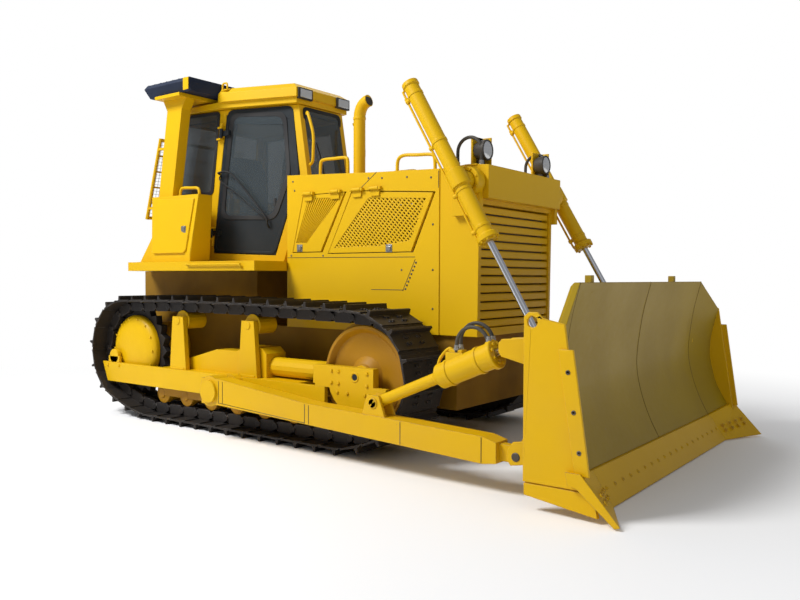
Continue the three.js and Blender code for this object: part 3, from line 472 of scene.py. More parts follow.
for side, s in (("right", -1), ("left", 1)):
    spots = []
    for a, b in zip(pins, pins[1:] + pins[:1]):
        slope = math.atan2(b[1] - a[1], b[0] - a[0])
        spots.append((at((a[0] + b[0]) / 2, s * CHAIN_Y, (a[1] + b[1]) / 2), (math.pi, -slope, 0)))
    shoes = set_out(f"track_shoes_{side}", shoe_shape(), spots, "chassis", track_steel)
    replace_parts(shoes, f"track_{side}")
    dress(track_steel, f"sprocket_{side}")


# Final drives, idlers and rollers: cast and turned steel on the roller frames, painted yellow, rubbed and
# rusty where the chain runs. The drive covers are domed and bolted, and the idlers are dished.
rusty_yellow = finish("rusty_yellow", (0.44, 0.215, 0.002), (0.24, 0.095, 0.004), (0.20, 0.11, 0.07), 0.40, edges=0.6, chips=0.2,
                      dust=0.3, grain_size=40, bump=0.25, dust_tone=(0.30, 0.16, 0.05))


def settle(name, bm, body, material, bevel=0.0, sharp=32):
    bmesh.ops.remove_doubles(bm, verts=bm.verts, dist=1e-6)
    bmesh.ops.recalc_face_normals(bm, faces=bm.faces)
    for face in bm.faces:
        face.smooth = True
    for crease in bm.edges:
        crease.smooth = crease.is_boundary or (crease.calc_face_angle(0) < math.radians(sharp))
    mesh = bpy.data.meshes.new(name)
    bm.to_mesh(mesh)
    bm.free()
    piece = bpy.data.objects.new(name, mesh)
    bpy.context.scene.collection.objects.link(piece)
    mesh.materials.append(material)
    if bevel:
        soft = piece.modifiers.new("edges", "BEVEL")
        soft.width = bevel
        soft.segments = 2
        soft.limit_method = "ANGLE"
        soft.harden_normals = False
    if body:
        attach(piece, body)
    return piece


def turned(bm, start, end, stations, count=40, hollow=False):
    start, end = Vector(start), Vector(end)
    way = (end - start).normalized()
    side_way = way.orthogonal().normalized()
    other = way.cross(side_way)
    rings = []
    for distance, radius in stations:
        centre = start + way * distance / 1000
        if radius == 0:
            rings.append([bm.verts.new(centre)])
        else:
            rings.append([bm.verts.new(centre + (side_way * math.cos(a) + other * math.sin(a)) * radius / 1000)
                          for a in (2 * math.pi * i / count for i in range(count))])
    for low, high in zip(rings, rings[1:] + (rings[:1] if hollow else [])):
        for i in range(count):
            j = (i + 1) % count
            corners = [low[i % len(low)], low[j % len(low)], high[j % len(high)], high[i % len(high)]]
            bm.faces.new(list(dict.fromkeys(corners)))
    for cap in (rings[0], rings[-1]):
        if len(cap) > 1 and not hollow:
            bm.faces.new(cap)


def block(bm, x0, x1, y0, y1, z0, z1):
    corners = [bm.verts.new(at(x, y, z)) for x in (x0, x1) for y in (y0, y1) for z in (z0, z1)]
    for ids in ((0, 1, 3, 2), (4, 6, 7, 5), (0, 4, 5, 1), (2, 3, 7, 6), (0, 2, 6, 4), (1, 5, 7, 3)):
        bm.faces.new([corners[i] for i in ids])


ROLLER_COUNT, ROLLER_PITCH, ROLLER_Z = 7, 340, 250.6
SHAFT_X, SHAFT_Z = 2862, 596
for side, s in (("right", -1), ("left", 1)):
    bm = bmesh.new()
    x, z = SPROCKET_CENTRE
    turned(bm, at(x, s * 560.5, z), at(x, s * 1100, z), [(0, 258), (340, 258), (344, 198), (418, 198)], 56)
    turned(bm, at(x, s * 976, z), at(x, s * 1100, z), [
        (0, 318), (0, 334), (30, 334), (48, 326), (66, 300), (80, 262), (88, 210), (94, 150), (104, 0)], 64)
    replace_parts(settle(f"final_drive_cover_{side}", bm, "chassis", yellow_paint), f"final_drive_{side}")

    bm = bmesh.new()
    x, z = IDLER_CENTRE
    start = at(x, s * 820, z)
    turned(bm, start, at(x, s * 1060, z), [
        (0, 0), (0, 88), (14, 96), (22, 112), (58, 150), (66, 240), (52, 326), (20, 352), (14, 360), (14, 382), (24, 390),
        (76, 390), (80, 418), (160, 418), (164, 390), (216, 390), (226, 382), (226, 360), (220, 352), (188, 326), (174, 240),
        (182, 150), (218, 112), (226, 96), (240, 88), (240, 0)], 72)
    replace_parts(settle(f"idler_wheel_{side}", bm, "chassis", rusty_yellow), f"idler_{side}")

    bm = bmesh.new()
    for i in range(ROLLER_COUNT):
        x = 444 + ROLLER_PITCH * i
        turned(bm, at(x, s * 818, ROLLER_Z), at(x, s * 1062, ROLLER_Z), [
            (0, 0), (0, 40), (10, 44), (12, 70), (20, 94), (74, 94), (80, 82), (164, 82), (170, 94), (224, 94), (232, 70),
            (234, 44), (244, 40), (244, 0)], 32)
    block(bm, 500, 2240, s * 900, s * 980, 300, 438)
    block(bm, 400, 2530, s * 1052, s * 1061, 232, 300)
    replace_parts(settle(f"roller_row_{side}", bm, "chassis", rusty_yellow), f"lower_rollers_{side}")

    bm = bmesh.new()
    for x, line in CARRIERS:
        z = line - 129
        turned(bm, at(x, s * 1042, z), at(x, s * 1057, z), [(0, 0), (0, 92), (3, 96), (8, 96), (11, 82), (15, 66), (15, 0)], 36)
        turned(bm, at(x, s * 1104, z), at(x, s * 1112, z), [(0, 0), (0, 34), (8, 30), (8, 0)], 24)
        block(bm, x - 90, x + 90, s * 1058, s * 1112, 500, 520)
    block(bm, -330, -150, s * 1092, s * 1120, 500, 560)
    turned(bm, at(-240, s * 1085, 560), at(-240, s * 1120, 560), [(0, 0), (0, 70), (35, 70), (35, 0)], 28)
    block(bm, 2560, 2600, s * 1118, s * 1124, 520, 650)
    turned(bm, at(SHAFT_X, s * 1118, SHAFT_Z), at(SHAFT_X, s * 1130, SHAFT_Z), [
        (0, 0), (0, 40), (9, 40), (12, 36), (12, 27), (6, 25), (6, 0)], 32)
    settle(f"frame_fittings_{side}", bm, "chassis", yellow_paint, bevel=0.004)
    bm = bmesh.new()
    turned(bm, at(SHAFT_X, s * 1122, SHAFT_Z), at(SHAFT_X, s * 1126, SHAFT_Z), [(0, 0), (0, 24), (4, 24), (4, 0)], 24)
    settle(f"idler_shaft_end_{side}", bm, "chassis", door_paint)


# Hexagon bolts of the final drives and roller frames: forged heads, painted over with the machine, in a ring
# round each drive cover and in rows on the frames' outer plates.
bolt_steel = finish("bolt_steel", (0.10, 0.085, 0.07), (0.06, 0.05, 0.04), (0.34, 0.30, 0.26), 0.45, edges=0.5, dust=0.3,
                    metallic=0.7, grain_size=90, bump=0.2)


def hex_head(radius=13, height=10):
    bm = bmesh.new()
    ring = rim((0, 0), radius / 1000, 6)
    low = [bm.verts.new((u, v, -0.002)) for u, v in ring]
    mid = [bm.verts.new((u, v, height * 0.75 / 1000)) for u, v in ring]
    top = [bm.verts.new((u * 0.8, v * 0.8, height / 1000)) for u, v in ring]
    bm.faces.new(top)
    bm.faces.new(list(reversed(low)))
    band(bm, low, mid)
    band(bm, mid, top)
    return bm


def facing(s):
    return (math.radians(-90) * s, 0, 0)


FRAME_FACE, BOLT_CIRCLE = 1125, 300
for side, s in (("right", -1), ("left", 1)):
    rounds = [(at(x, s * 1041, z), facing(s)) for x, z in rim(SPROCKET_CENTRE, BOLT_CIRCLE, 14)]
    frame_bolts = [(at(x, s * FRAME_FACE, 470), facing(s)) for x in (-330, -150, 2690, 2790, 2960)]
    idler_bolts = [(at(x, s * FRAME_FACE, z), facing(s)) for x in (2630, 2700, 2980) for z in (540, 630)]
    set_out(f"drive_bolts_{side}", hex_head(11, 9), rounds, "chassis", yellow_paint)
    set_out(f"frame_bolts_{side}", hex_head(14, 10), frame_bolts + idler_bolts, "chassis", yellow_paint)


# Blade: a rolled moldboard plate with two wings angled forward, flame-cut side plates with a lifting hole,
# bolted wear strips, and the lugs that take the arms and lift rods; welded steel, painted inside and out.
# The moldboard's dull olive-brown is worn yellow paint plus painted shade: its face is darkened as if it lay in
# shadow.
blade_wear_and_shade = finish("blade_wear_and_shade", (0.36, 0.235, 0.0), (0.22, 0.145, 0.004), (0.20, 0.15, 0.11), 0.36, edges=0.6, chips=0.26,
                     dust=0.30, coat=0.05, grain_size=22, bump=0.12, dust_tone=(0.26, 0.18, 0.07))
MOLDBOARD = [(4687, 1316), (4630, 1090), (4594, 845), (4590, 690), (4621, 529), (4680, 360), (4757, 205)]
WING = [(4747, 1079), (4712, 950), (4684, 809), (4682, 656), (4728, 460), (4775, 360), (4830, 260)]
CREASE, BLADE_HALF, ARM_Y, LIFT_Y, WEAR_STRIP = 1210, 1525, 1327.5, 800, 38


def across(bm, outline, y0, y1):
    prism(bm, [at(x, y0, z) for x, z in outline], [at(x, y1, z) for x, z in outline])


def bent(path, steps):
    path = [Vector(p) for p in path]
    spine = []
    for i in range(len(path) - 1):
        before = path[max(i - 1, 0)]
        a, b = path[i], path[i + 1]
        after = path[min(i + 2, len(path) - 1)]
        for k in range(steps):
            t = k / steps
            spine.append(0.5 * ((2 * a) + (b - before) * t + (2 * before - 5 * a + 4 * b - after) * t * t
                                + (3 * a - before - 3 * b + after) * t ** 3))
    return spine + [path[-1]]


def tube(bm, path, radius, count=12, steps=6):
    spine = bent(path, steps)
    rings = []
    way = (spine[1] - spine[0]).normalized()
    side_way = way.orthogonal().normalized()
    for i, centre in enumerate(spine):
        ahead = (spine[min(i + 1, len(spine) - 1)] - spine[max(i - 1, 0)]).normalized()
        side_way = (side_way - ahead * side_way.dot(ahead)).normalized()
        other = ahead.cross(side_way)
        rings.append([bm.verts.new(centre + (side_way * math.cos(a) + other * math.sin(a)) * radius / 1000)
                      for a in (2 * math.pi * k / count for k in range(count))])
    for low, high in zip(rings, rings[1:]):
        band(bm, low, high)
    bm.faces.new(rings[0])
    bm.faces.new(rings[-1])


def pierced(bm, outer, holes, y0, y1):
    loops = [outer, *holes]
    low, high = [[bm.verts.new(at(x, y, z)) for loop in loops for x, z in loop] for y in (y0, y1)]
    for a, b, c in tessellate_polygon([[Vector((x, z, 0)) for x, z in loop] for loop in loops]):
        bm.faces.new([low[a], low[b], low[c]])
        bm.faces.new([high[a], high[c], high[b]])
    first = 0
    for loop in loops:
        band(bm, low[first:first + len(loop)], high[first:first + len(loop)])
        first += len(loop)


bm = bmesh.new()
front, wing = bent(MOLDBOARD, 6), bent(WING, 6)
stations = [(-BLADE_HALF, wing), (-CREASE, front), (CREASE, front), (BLADE_HALF, wing)]
rows = []
for y, line in stations:
    faced = [bm.verts.new(at(x, y, z)) for x, z in line]
    backed = [bm.verts.new(at(x - (40 if i == 0 else 58), y, z)) for i, (x, z) in enumerate(line)]
    rows.append(faced + backed[::-1])
for low, high in zip(rows, rows[1:]):
    band(bm, low, high)
bm.faces.new(rows[0])
bm.faces.new(rows[-1])
across(bm, [(4535, 420), (4590, 410), (4600, 300), (4520, 300), (4450, 340), (4450, 400)], -CREASE, CREASE)
across(bm, [(4500, 1010), (4572, 990), (4558, 900), (4500, 915)], -CREASE, CREASE)
for y in (-990, 570):
    block(bm, 4625, 4670, y - 22, y + 22, 1250, 1360)
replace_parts(settle("moldboard", bm, "blade_body", blade_wear_and_shade, bevel=0.004, sharp=22), "blade")

# Weld beads: dark brown along the moldboard's creases and the arms' joins, their colour painted shade for the shadow
# line at each bead.
weld_bead_shade = finish("weld_bead_shade", (0.15, 0.095, 0.004), (0.09, 0.055, 0.004), (0.2, 0.15, 0.1), 0.55, dust=0.3, grain_size=160,
                   bump=0.3)
bm = bmesh.new()
for y in (-CREASE, 0, CREASE):
    tube(bm, [at(x - 2, y, z) for x, z in MOLDBOARD], 5, 6, 6)
settle("moldboard_welds", bm, "blade_body", weld_bead_shade, sharp=60)

bm = bmesh.new()
for s in (-1, 1):
    pierced(bm, [(4490, 165), (4490, 1120), (4520, 1147), (4575, 1147), (4612, 1112), (4745, 1085), (4765, 950), (4885, 165)],
            [rim((4545, 1090), 32, 28)], s * BLADE_HALF, s * (BLADE_HALF + 20))
    across(bm, [(4715, 945), (4806, 945), (4908, 250), (4818, 250)], s * (BLADE_HALF + 20), s * (BLADE_HALF + WEAR_STRIP))
    for k in (-1, 1):
        y = s * ARM_Y + k * 54
        across(bm, [(4330, 205), (4650, 262), (4688, 300), (4672, 410), (4345, 350), (4310, 300), (4310, 235)], y, y + k * 22)
        across(bm, [(4260, 862), (4590, 785), (4606, 800), (4616, 1000), (4262, 970), (4240, 945), (4240, 890)], y, y + k * 18)
        y = s * LIFT_Y + k * 42
        across(bm, [(4350, 590), (4556, 535), (4552, 600), (4550, 800), (4350, 732), (4322, 690), (4322, 625)], y, y + k * 20)
        turned(bm, at(4372, y + k * 18, 660), at(4372, y + k * 32, 660), [(0, 0), (0, 40), (14, 36), (14, 0)], 24)
    for y in (s * ARM_Y - 72, s * ARM_Y + 56):
        turned(bm, at(4368, y, 262), at(4368, y + 16, 262), [(0, 0), (0, 50), (16, 46), (16, 0)], 28)
settle("blade_side_plates", bm, "blade_body", arm_paint, bevel=0.004, sharp=22)
bm = bmesh.new()
for s in (-1, 1):
    turned(bm, at(4368, s * 1384, 262), at(4368, s * 1410, 262), [(0, 0), (0, 28), (22, 28), (26, 22), (26, 0)], 28)
settle("blade_foot_pins", bm, "blade_body", bolt_steel)

lip = math.radians(56)
plough_bolts = [(at(4842, -1152 + 128 * i, 101), (0, lip, 0)) for i in range(19)]
for s in (-1, 1):
    for i in range(4):
        x, y, z = 4872 + 28 * i, s * (1262 + 82 * i), 122 + 10 * i
        plough_bolts += [(at(x + drop * 0.56, y, z - drop * 0.83), (0, lip - 0.1, math.radians(-14) * s)) for drop in (0, 44)]


def bolt_head(radius):
    bm = bmesh.new()
    turned(bm, (0, 0, -0.004), (0, 0, 0.004), [
        (0, 0), (0, radius), (6, radius), (8, radius - 3), (8, radius - 6), (4, radius - 8), (4, 0)], 16)
    return bm


set_out("plough_bolts", bolt_head(14), plough_bolts, "blade_body", arm_paint)
strip_bolts = [(at(x, s * (BLADE_HALF + WEAR_STRIP), z), facing(s)) for s in (-1, 1)
               for x, z in ((4776, 820), (4812, 600), (4846, 380))]
set_out("strip_bolts", bolt_head(14), strip_bolts, "blade_body", bolt_steel)


# Lift cylinders: long single-stage rams hung on a trunnion beside the guard, with a bolted gland below,
# a thin steel feed pipe clamped along the back, and a chromed rod down to the blade.
chrome = finish("chrome_rod", (0.66, 0.67, 0.70), (0.52, 0.53, 0.56), (0.3, 0.3, 0.3), 0.10, edges=0.0, chips=0.0, dust=0.05,
                metallic=1.0, grain_size=8, bump=0.01, dust_tone=(0.4, 0.38, 0.34))
LIFT_TOP, LIFT_FOOT = (3560, 2045), (4372, 660)
BARREL_R, ROD_R = 58, 24
eight_round = [math.pi * (i + 0.5) / 4 for i in range(8)]
lift_length = math.dist(LIFT_TOP, LIFT_FOOT)
lift_way = ((LIFT_FOOT[0] - LIFT_TOP[0]) / lift_length, (LIFT_FOOT[1] - LIFT_TOP[1]) / lift_length)


def on_lift(distance, y, back=0):
    return at(LIFT_TOP[0] + lift_way[0] * distance + lift_way[1] * back, y,
              LIFT_TOP[1] + lift_way[1] * distance - lift_way[0] * back)


def capped(length, radius, lip=3):
    return [(0, radius - lip), (lip, radius), (length - lip, radius), (length, radius - lip)]


def collar(length, outer, inner, lip=3):
    return [(0, inner), (0, outer - lip), (lip, outer), (length - lip, outer), (length, outer - lip), (length, inner)]


for side, s in (("right", -1), ("left", 1)):
    y = s * LIFT_Y
    x, z = LIFT_TOP
    bm = bmesh.new()
    turned(bm, on_lift(-880, y), on_lift(500, y), [
        (0, 0), (0, 44), (6, 52), (10, 64), (42, 66), (46, BARREL_R), (806, BARREL_R), (810, 73), (938, 73), (942, BARREL_R),
        (1336, BARREL_R), (1340, 66), (1352, 82), (1386, 82), (1390, 60), (1398, 52), (1398, ROD_R + 1), (80, ROD_R + 1),
        (80, 0)], 48)
    turned(bm, at(x, s * 662, z), at(x, s * 780, z), [(0, 47), (0, 68), (4, 72), (90, 72), (94, 68), (98, 60)], 36, True)
    housing = bmesh.new()
    turned(housing, at(x, s * 604, z), at(x, s * 700, z), collar(96, 108, 76, 6), 44, True)
    settle(f"trunnion_housing_{side}", housing, "chassis", yellow_paint, bevel=0.0015)
    housing_ring = [(at(x + 92 * math.cos(a), s * 700, z + 92 * math.sin(a)), facing(s)) for a in eight_round]
    set_out(f"trunnion_bolts_{side}", hex_head(10, 9), housing_ring, "chassis", yellow_paint)
    for distance in (-760, -330, 90, 400):
        turned(bm, on_lift(distance - 11, y), on_lift(distance + 11, y), collar(22, BARREL_R + 4, BARREL_R - 1, 2), 40, True)
        turned(bm, on_lift(distance, y, 56), on_lift(distance, y, 96), [(0, 0), (0, 17), (40, 17), (40, 0)], 16)
    barrel = settle(f"lift_barrel_{side}", bm, f"lift_barrel_{side}_body", yellow_paint, bevel=0.0015, sharp=25)
    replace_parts(barrel, f"lift_cylinder_{side}")
    bm = bmesh.new()
    tube(bm, [on_lift(-850, y, 52), on_lift(-845, y, 78), on_lift(-800, y, 84), on_lift(-300, y, 84), on_lift(200, y, 84),
              on_lift(420, y, 84), on_lift(468, y, 80), on_lift(485, y, 60)], 9, 12, 5)
    turned(bm, on_lift(-790, y, 84), on_lift(-740, y, 84), capped(50, 16), 6)
    settle(f"lift_pipe_{side}", bm, f"lift_barrel_{side}_body", yellow_paint, sharp=40)
    ring = [(on_lift(508, y + 69 * math.cos(a), 69 * math.sin(a)), (0, math.atan2(*lift_way), 0)) for a in eight_round]
    set_out(f"gland_bolts_{side}", hex_head(12, 14), ring, f"lift_barrel_{side}_body", yellow_paint)
    bm = bmesh.new()
    rod = lift_length - 130
    turned(bm, on_lift(100, y), on_lift(lift_length - 30, y), [(0, 0), (0, ROD_R - 2), (3, ROD_R), (rod, ROD_R), (rod, 0)], 40)
    x, z = LIFT_FOOT
    turned(bm, at(x, y - 30, z), at(x, y + 30, z), [(0, 0), (0, 42), (4, 46), (56, 46), (60, 42), (60, 0)], 36)
    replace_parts(settle(f"lift_ram_{side}", bm, f"lift_rod_{side}_body", chrome, sharp=25), f"lift_rod_{side}")


# Tilt cylinder on the right arm: thick barrel with a coned tail, valve block and plate on top, and a short
# chromed rod with a ball eye. On the left a plain screw strut stands in its place.
BRACE_START, BRACE_END = (3251, 476), (4296, 916)
brace_length = math.dist(BRACE_START, BRACE_END)
brace_way = ((BRACE_END[0] - BRACE_START[0]) / brace_length, (BRACE_END[1] - BRACE_START[1]) / brace_length)


def on_brace(distance, y, up=0):
    return at(BRACE_START[0] + brace_way[0] * distance - brace_way[1] * up, y,
              BRACE_START[1] + brace_way[1] * distance + brace_way[0] * up)


bm = bmesh.new()
turned(bm, on_brace(20, -ARM_Y), on_brace(1024, -ARM_Y), [
    (0, 0), (0, 40), (506, 40), (510, 46), (520, 50), (552, 84), (966, 84), (970, 96), (998, 96), (1004, 90), (1004, 33),
    (610, 33), (610, 0)], 48)
foot_x, foot_z = BRACE_START
turned(bm, at(foot_x, -ARM_Y - 38, foot_z), at(foot_x, -ARM_Y + 38, foot_z), [
    (0, 25), (0, 44), (3, 46), (73, 46), (76, 44), (76, 25)], 32, True)
for distance in (640, 880):
    turned(bm, on_brace(distance, -ARM_Y), on_brace(distance + 24, -ARM_Y), collar(24, 90, 83, 2), 40, True)
block(bm, 3835, 3965, -1372, -1283, 790, 862)
block(bm, 3850, 3950, -1358, -1297, 862, 880)
tube(bm, [at(3860, -1300, 850), at(3820, -1300, 880), at(3760, -1310, 820), at(3740, -1318, 755)], 11, 12, 6)
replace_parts(settle("tilt_barrel", bm, "push_arm_right_body", yellow_paint, bevel=0.0015, sharp=25), "tilt_cylinder_barrel")
bm = bmesh.new()
turned(bm, on_brace(720, -ARM_Y), on_brace(1100, -ARM_Y), [(0, 0), (0, 30), (3, 32), (380, 32), (380, 0)], 40)
ball_x, ball_z = BRACE_END
turned(bm, at(ball_x, -ARM_Y - 30, ball_z), at(ball_x, -ARM_Y + 30, ball_z), [
    (0, 0), (0, 46), (5, 52), (55, 52), (60, 46), (60, 0)], 40)
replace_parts(settle("tilt_ram", bm, "tilt_rod_body", chrome, sharp=25), "tilt_cylinder_rod")
gland_ring = [(on_brace(1023, -ARM_Y + 64 * math.cos(a), 64 * math.sin(a)), (0, math.atan2(*brace_way), 0)) for a in eight_round]
set_out("tilt_gland_bolts", hex_head(12, 13), gland_ring, "push_arm_right_body", yellow_paint)


# Hood side doors: pressed steel panels hung on two hinges, one with a fan of upright louvres and one with a
# field of slanting slots, each shut by a bright paddle latch.
latch_steel = finish("latch_steel", (0.36, 0.36, 0.35), (0.22, 0.22, 0.22), (0.08, 0.08, 0.08), 0.28, edges=0.3, dust=0.2,
                     metallic=0.9)
HOOD_SIDE, HINGE_Y, HINGE_Z = 600, 620, 2062
LOUVRE_DOOR = [(1700, 1560), (2030, 1560), (2300, 2050), (1830, 2050)]
LOUVRE_FIELD = [(1738, 1641), (1868, 1638), (2245, 2008), (1890, 2026)]
MESH_DOOR = [(2120, 1545), (2990, 1545), (3200, 1995), (2700, 2030), (2480, 2050), (2385, 2050)]
MESH_FIELD = [(2190, 1590), (2690, 1598), (2985, 1632), (3130, 1955), (2560, 1990)]


def clipped(a, b, field):
    enter, leave = 0.0, 1.0
    for (x0, z0), (x1, z1) in zip(field, field[1:] + field[:1]):
        side_a = (x1 - x0) * (a[1] - z0) - (z1 - z0) * (a[0] - x0)
        side_b = (x1 - x0) * (b[1] - z0) - (z1 - z0) * (b[0] - x0)
        if side_a < 0 and side_b < 0:
            return None
        if side_a < 0 or side_b < 0:
            t = side_a / (side_a - side_b)
            if side_a < 0:
                enter = max(enter, t)
            else:
                leave = min(leave, t)
    if enter >= leave:
        return None
    return [(a[0] + (b[0] - a[0]) * t, a[1] + (b[1] - a[1]) * t) for t in (enter, leave)]


def strip(bm, a, b, width, y0, y1):
    length = math.dist(a, b)
    u, w = (b[0] - a[0]) / length, (b[1] - a[1]) / length
    a = (a[0] - u * 8, a[1] - w * 8)
    b = (b[0] + u * 8, b[1] + w * 8)
    across(bm, [(a[0] + w * width / 2, a[1] - u * width / 2), (b[0] + w * width / 2, b[1] - u * width / 2),
                (b[0] - w * width / 2, b[1] + u * width / 2), (a[0] - w * width / 2, a[1] + u * width / 2)], y0, y1)


def slats(bm, field, angle, pitch, width, y0, y1):
    u, w = math.cos(math.radians(angle)), math.sin(math.radians(angle))
    middle = (sum(x for x, _ in field) / len(field), sum(z for _, z in field) / len(field))
    for i in range(-40, 41):
        centre = (middle[0] - w * pitch * i, middle[1] + u * pitch * i)
        ends = clipped((centre[0] - u * 1500, centre[1] - w * 1500), (centre[0] + u * 1500, centre[1] + w * 1500), field)
        if ends and math.dist(*ends) > 12:
            strip(bm, *ends, width, y0, y1)


def door_fittings(bm, s, hinge_xs):
    for x in hinge_xs:
        turned(bm, at(x, s * HINGE_Y, HINGE_Z), at(x + 90, s * HINGE_Y, HINGE_Z), collar(90, 16, 9.5, 2), 20, True)
        block(bm, x, x + 90, s * HOOD_SIDE, s * 613, 2000, 2052)


for side, s in (("right", -1), ("left", 1)):
    for name, outline, field, hinge_xs, latch in (
        ("louvre_door", LOUVRE_DOOR, LOUVRE_FIELD, (1850, 2160), (1785, 1592)),
        ("mesh_door", MESH_DOOR, MESH_FIELD, (2400, 2590), (2774, 1572)),
    ):
        bm = bmesh.new()
        pierced(bm, outline, [field], s * 572, s * HOOD_SIDE)
        if name == "louvre_door":
            for i in range(13):
                t = (i + 0.5) / 13
                foot = (1738 + 130 * t, 1632)
                head = (1890 + 355 * t, 2034 - 18 * t)
                across(bm, [(foot[0] - 2.6, foot[1]), (foot[0] + 2.6, foot[1]), (head[0] + 8, head[1]), (head[0] - 8, head[1])],
                       s * 583, s * 598)
        else:
            slats(bm, field, -42, 25, 13, s * 588, s * 598)
            slats(bm, field, 46, 34, 14, s * 586, s * 597)
        door_fittings(bm, s, hinge_xs)
        panel = settle(f"{name}_panel_{side}", bm, f"{name}_{side}_body", yellow_paint, bevel=0.0015)
        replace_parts(panel, f"{name}_{side}")
        bm = bmesh.new()
        x, z = latch
        across(bm, [(x - 32, z - 30), (x + 32, z - 30), (x + 32, z + 34), (x - 32, z + 34)], s * HOOD_SIDE, s * 605)
        across(bm, [(x - 22, z - 18), (x + 22, z - 18), (x + 22, z + 18), (x - 22, z + 18)], s * 605, s * 616)
        settle(f"{name}_latch_{side}", bm, f"{name}_{side}_body", latch_steel, bevel=0.003)


# Radiator guard front: fourteen broad pressed slats, welded close together into the guard's frame and
# painted with it, with the dark iron radiator core behind their gaps.
SLAT_COUNT, SLAT_PITCH, GRILLE_HALF = 14, 66, 553
bm = bmesh.new()
for i in range(SLAT_COUNT):
    z = 966 + SLAT_PITCH * i
    across(bm, [(3560, z + 4), (3584, z), (3592, z + 6), (3592, z + 46), (3584, z + 54), (3568, z + 56), (3560, z + 50)],
           -GRILLE_HALF, GRILLE_HALF)
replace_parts(settle("grille_slats", bm, "chassis", yellow_paint, bevel=0.002, sharp=40), "radiator_grille")
bm = bmesh.new()
block(bm, 3538, 3546, -540, 540, 965, 1885)
settle("radiator_core", bm, "chassis", engine_iron)


# Work lamps: two round sealed lamps in black pressed housings, each on a short post and backed by a folded
# plate that is welded on top of the guard.
LAMP_Z, LAMP_YS = 2295, (-480, 480)
lamp_glass = finish("lamp_glass", (0.62, 0.64, 0.66), (0.52, 0.54, 0.56), (0.7, 0.7, 0.7), 0.06, edges=0.0, chips=0.0, dust=0.1,
                    metallic=0.6, coat=0.8, grain_size=14, bump=0.2)
lamp_black = finish("lamp_black", (0.02, 0.02, 0.022), (0.015, 0.015, 0.017), (0.1, 0.1, 0.1), 0.4, dust=0.2)
bm = bmesh.new()
for y in LAMP_YS:
    turned(bm, at(3505, y, LAMP_Z), at(3620, y, LAMP_Z), [
        (0, 0), (0, 40), (20, 62), (70, 76), (108, 78), (112, 74), (112, 68), (104, 66), (104, 0)], 36)
    block(bm, 3520, 3580, y - 12, y + 12, 2172, 2250)
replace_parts(settle("lamp_bodies", bm, "chassis", lamp_black, bevel=0.002), "guard_lamps")
bm = bmesh.new()
for y in LAMP_YS:
    turned(bm, at(3606, y, LAMP_Z), at(3622, y, LAMP_Z), [(0, 0), (0, 66), (6, 66), (12, 48), (15, 24), (16, 0)], 36)
settle("lamp_lenses", bm, "chassis", lamp_glass)
bm = bmesh.new()
for y in LAMP_YS:
    block(bm, 3500, 3516, y - 60, y + 96, 2170, 2400)
    block(bm, 3516, 3590, y + 82, y + 96, 2170, 2400)
block(bm, 3480, 3590, -600, 600, 2172, 2184)
settle("lamp_plates", bm, "chassis", yellow_paint, bevel=0.002)


# Cab roof and canopy: a folded sheet roof, thick at its edge, with a lifting eye and two rectangular lamps in
# its front, and behind it a dark riveted canopy plate on the yellow roll-over beam.
RINGS = [(1486, (525, 560), (1330, 345)), (2290, (622, 545), (1590, 300)), (2940, (705, 525), (1480, 300))]


def hull_of(bm, corners):
    points = [bm.verts.new(at(*corner)) for corner in corners]
    bmesh.ops.convex_hull(bm, input=points)


bm = bmesh.new()
hull_of(bm, [(x, s * y, z) for x, y in ((40, 596), (700, 596), (720, 590), (1500, 350)) for s in (-1, 1) for z in (2946, 3005)])
hull_of(bm, [(x, s * y, z) for s in (-1, 1) for x, y, z in (
    (705, 606, 3000), (760, 606, 3000), (1520, 372, 3000), (705, 600, 3084), (760, 600, 3084), (1516, 368, 3084),
    (730, 560, 3136), (1440, 318, 3136))])
turned(bm, at(690, -560, 3100), at(690, -548, 3100), [(0, 0), (0, 10), (12, 10), (12, 0)], 12)
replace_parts(settle("roof_cover", bm, "chassis", yellow_paint, bevel=0.006), "cab_roof")
bm = bmesh.new()
tube(bm, [at(740, -575, 3118), at(745, -575, 3172), at(775, -573, 3180), at(800, -572, 3172), at(806, -572, 3112)], 9, 12, 5)
block(bm, 735, 812, -590, -556, 3108, 3118)
settle("lifting_eye", bm, "chassis", yellow_paint, sharp=50)
CANOPY_TOP = 3186
bm = bmesh.new()
hull_of(bm, [(x, s * y, z) for s in (-1, 1) for x, y, z in (
    (60, 900, 3064), (690, 900, 3064), (30, 948, 3150), (700, 948, 3150), (60, 930, CANOPY_TOP), (690, 930, CANOPY_TOP))])
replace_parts(settle("canopy_plate", bm, "chassis", canopy_paint, bevel=0.004), "rops_canopy")
bm = bmesh.new()
block(bm, 628, 704, -951, -944, 3066, 3178)
block(bm, 628, 704, 944, 951, 3066, 3178)
settle("beam_ends", bm, "chassis", yellow_paint, bevel=0.002)
rivets = [(at(70 + 92 * i, s * 915, CANOPY_TOP), (0, 0, 0)) for i in range(7) for s in (-1, 1)]
set_out("canopy_bolts", hex_head(10, 5), rivets, "chassis", canopy_paint)

bm = bmesh.new()
for y in (-262, 262):
    block(bm, 1508, 1536, y - 92, y + 92, 2982, 3084)
settle("visor_lamp_frames", bm, "chassis", lamp_black, bevel=0.004)
bm = bmesh.new()
for y in (-262, 262):
    block(bm, 1530, 1541, y - 74, y + 74, 2996, 3072)
settle("visor_lamp_glass", bm, "chassis", lamp_glass, bevel=0.003)


# Cab doors and side windows: moulded rubber seals round the panes, a sheet lip round each door, bars of bent
# black rod across its glass, and yellow hinge covers welded down its rear edge.
rubber = finish("seal_rubber", (0.016, 0.016, 0.017), (0.012, 0.012, 0.013), (0.05, 0.05, 0.05), 0.5, dust=0.3, grain_size=200,
                bump=0.1, dust_tone=(0.12, 0.12, 0.12))


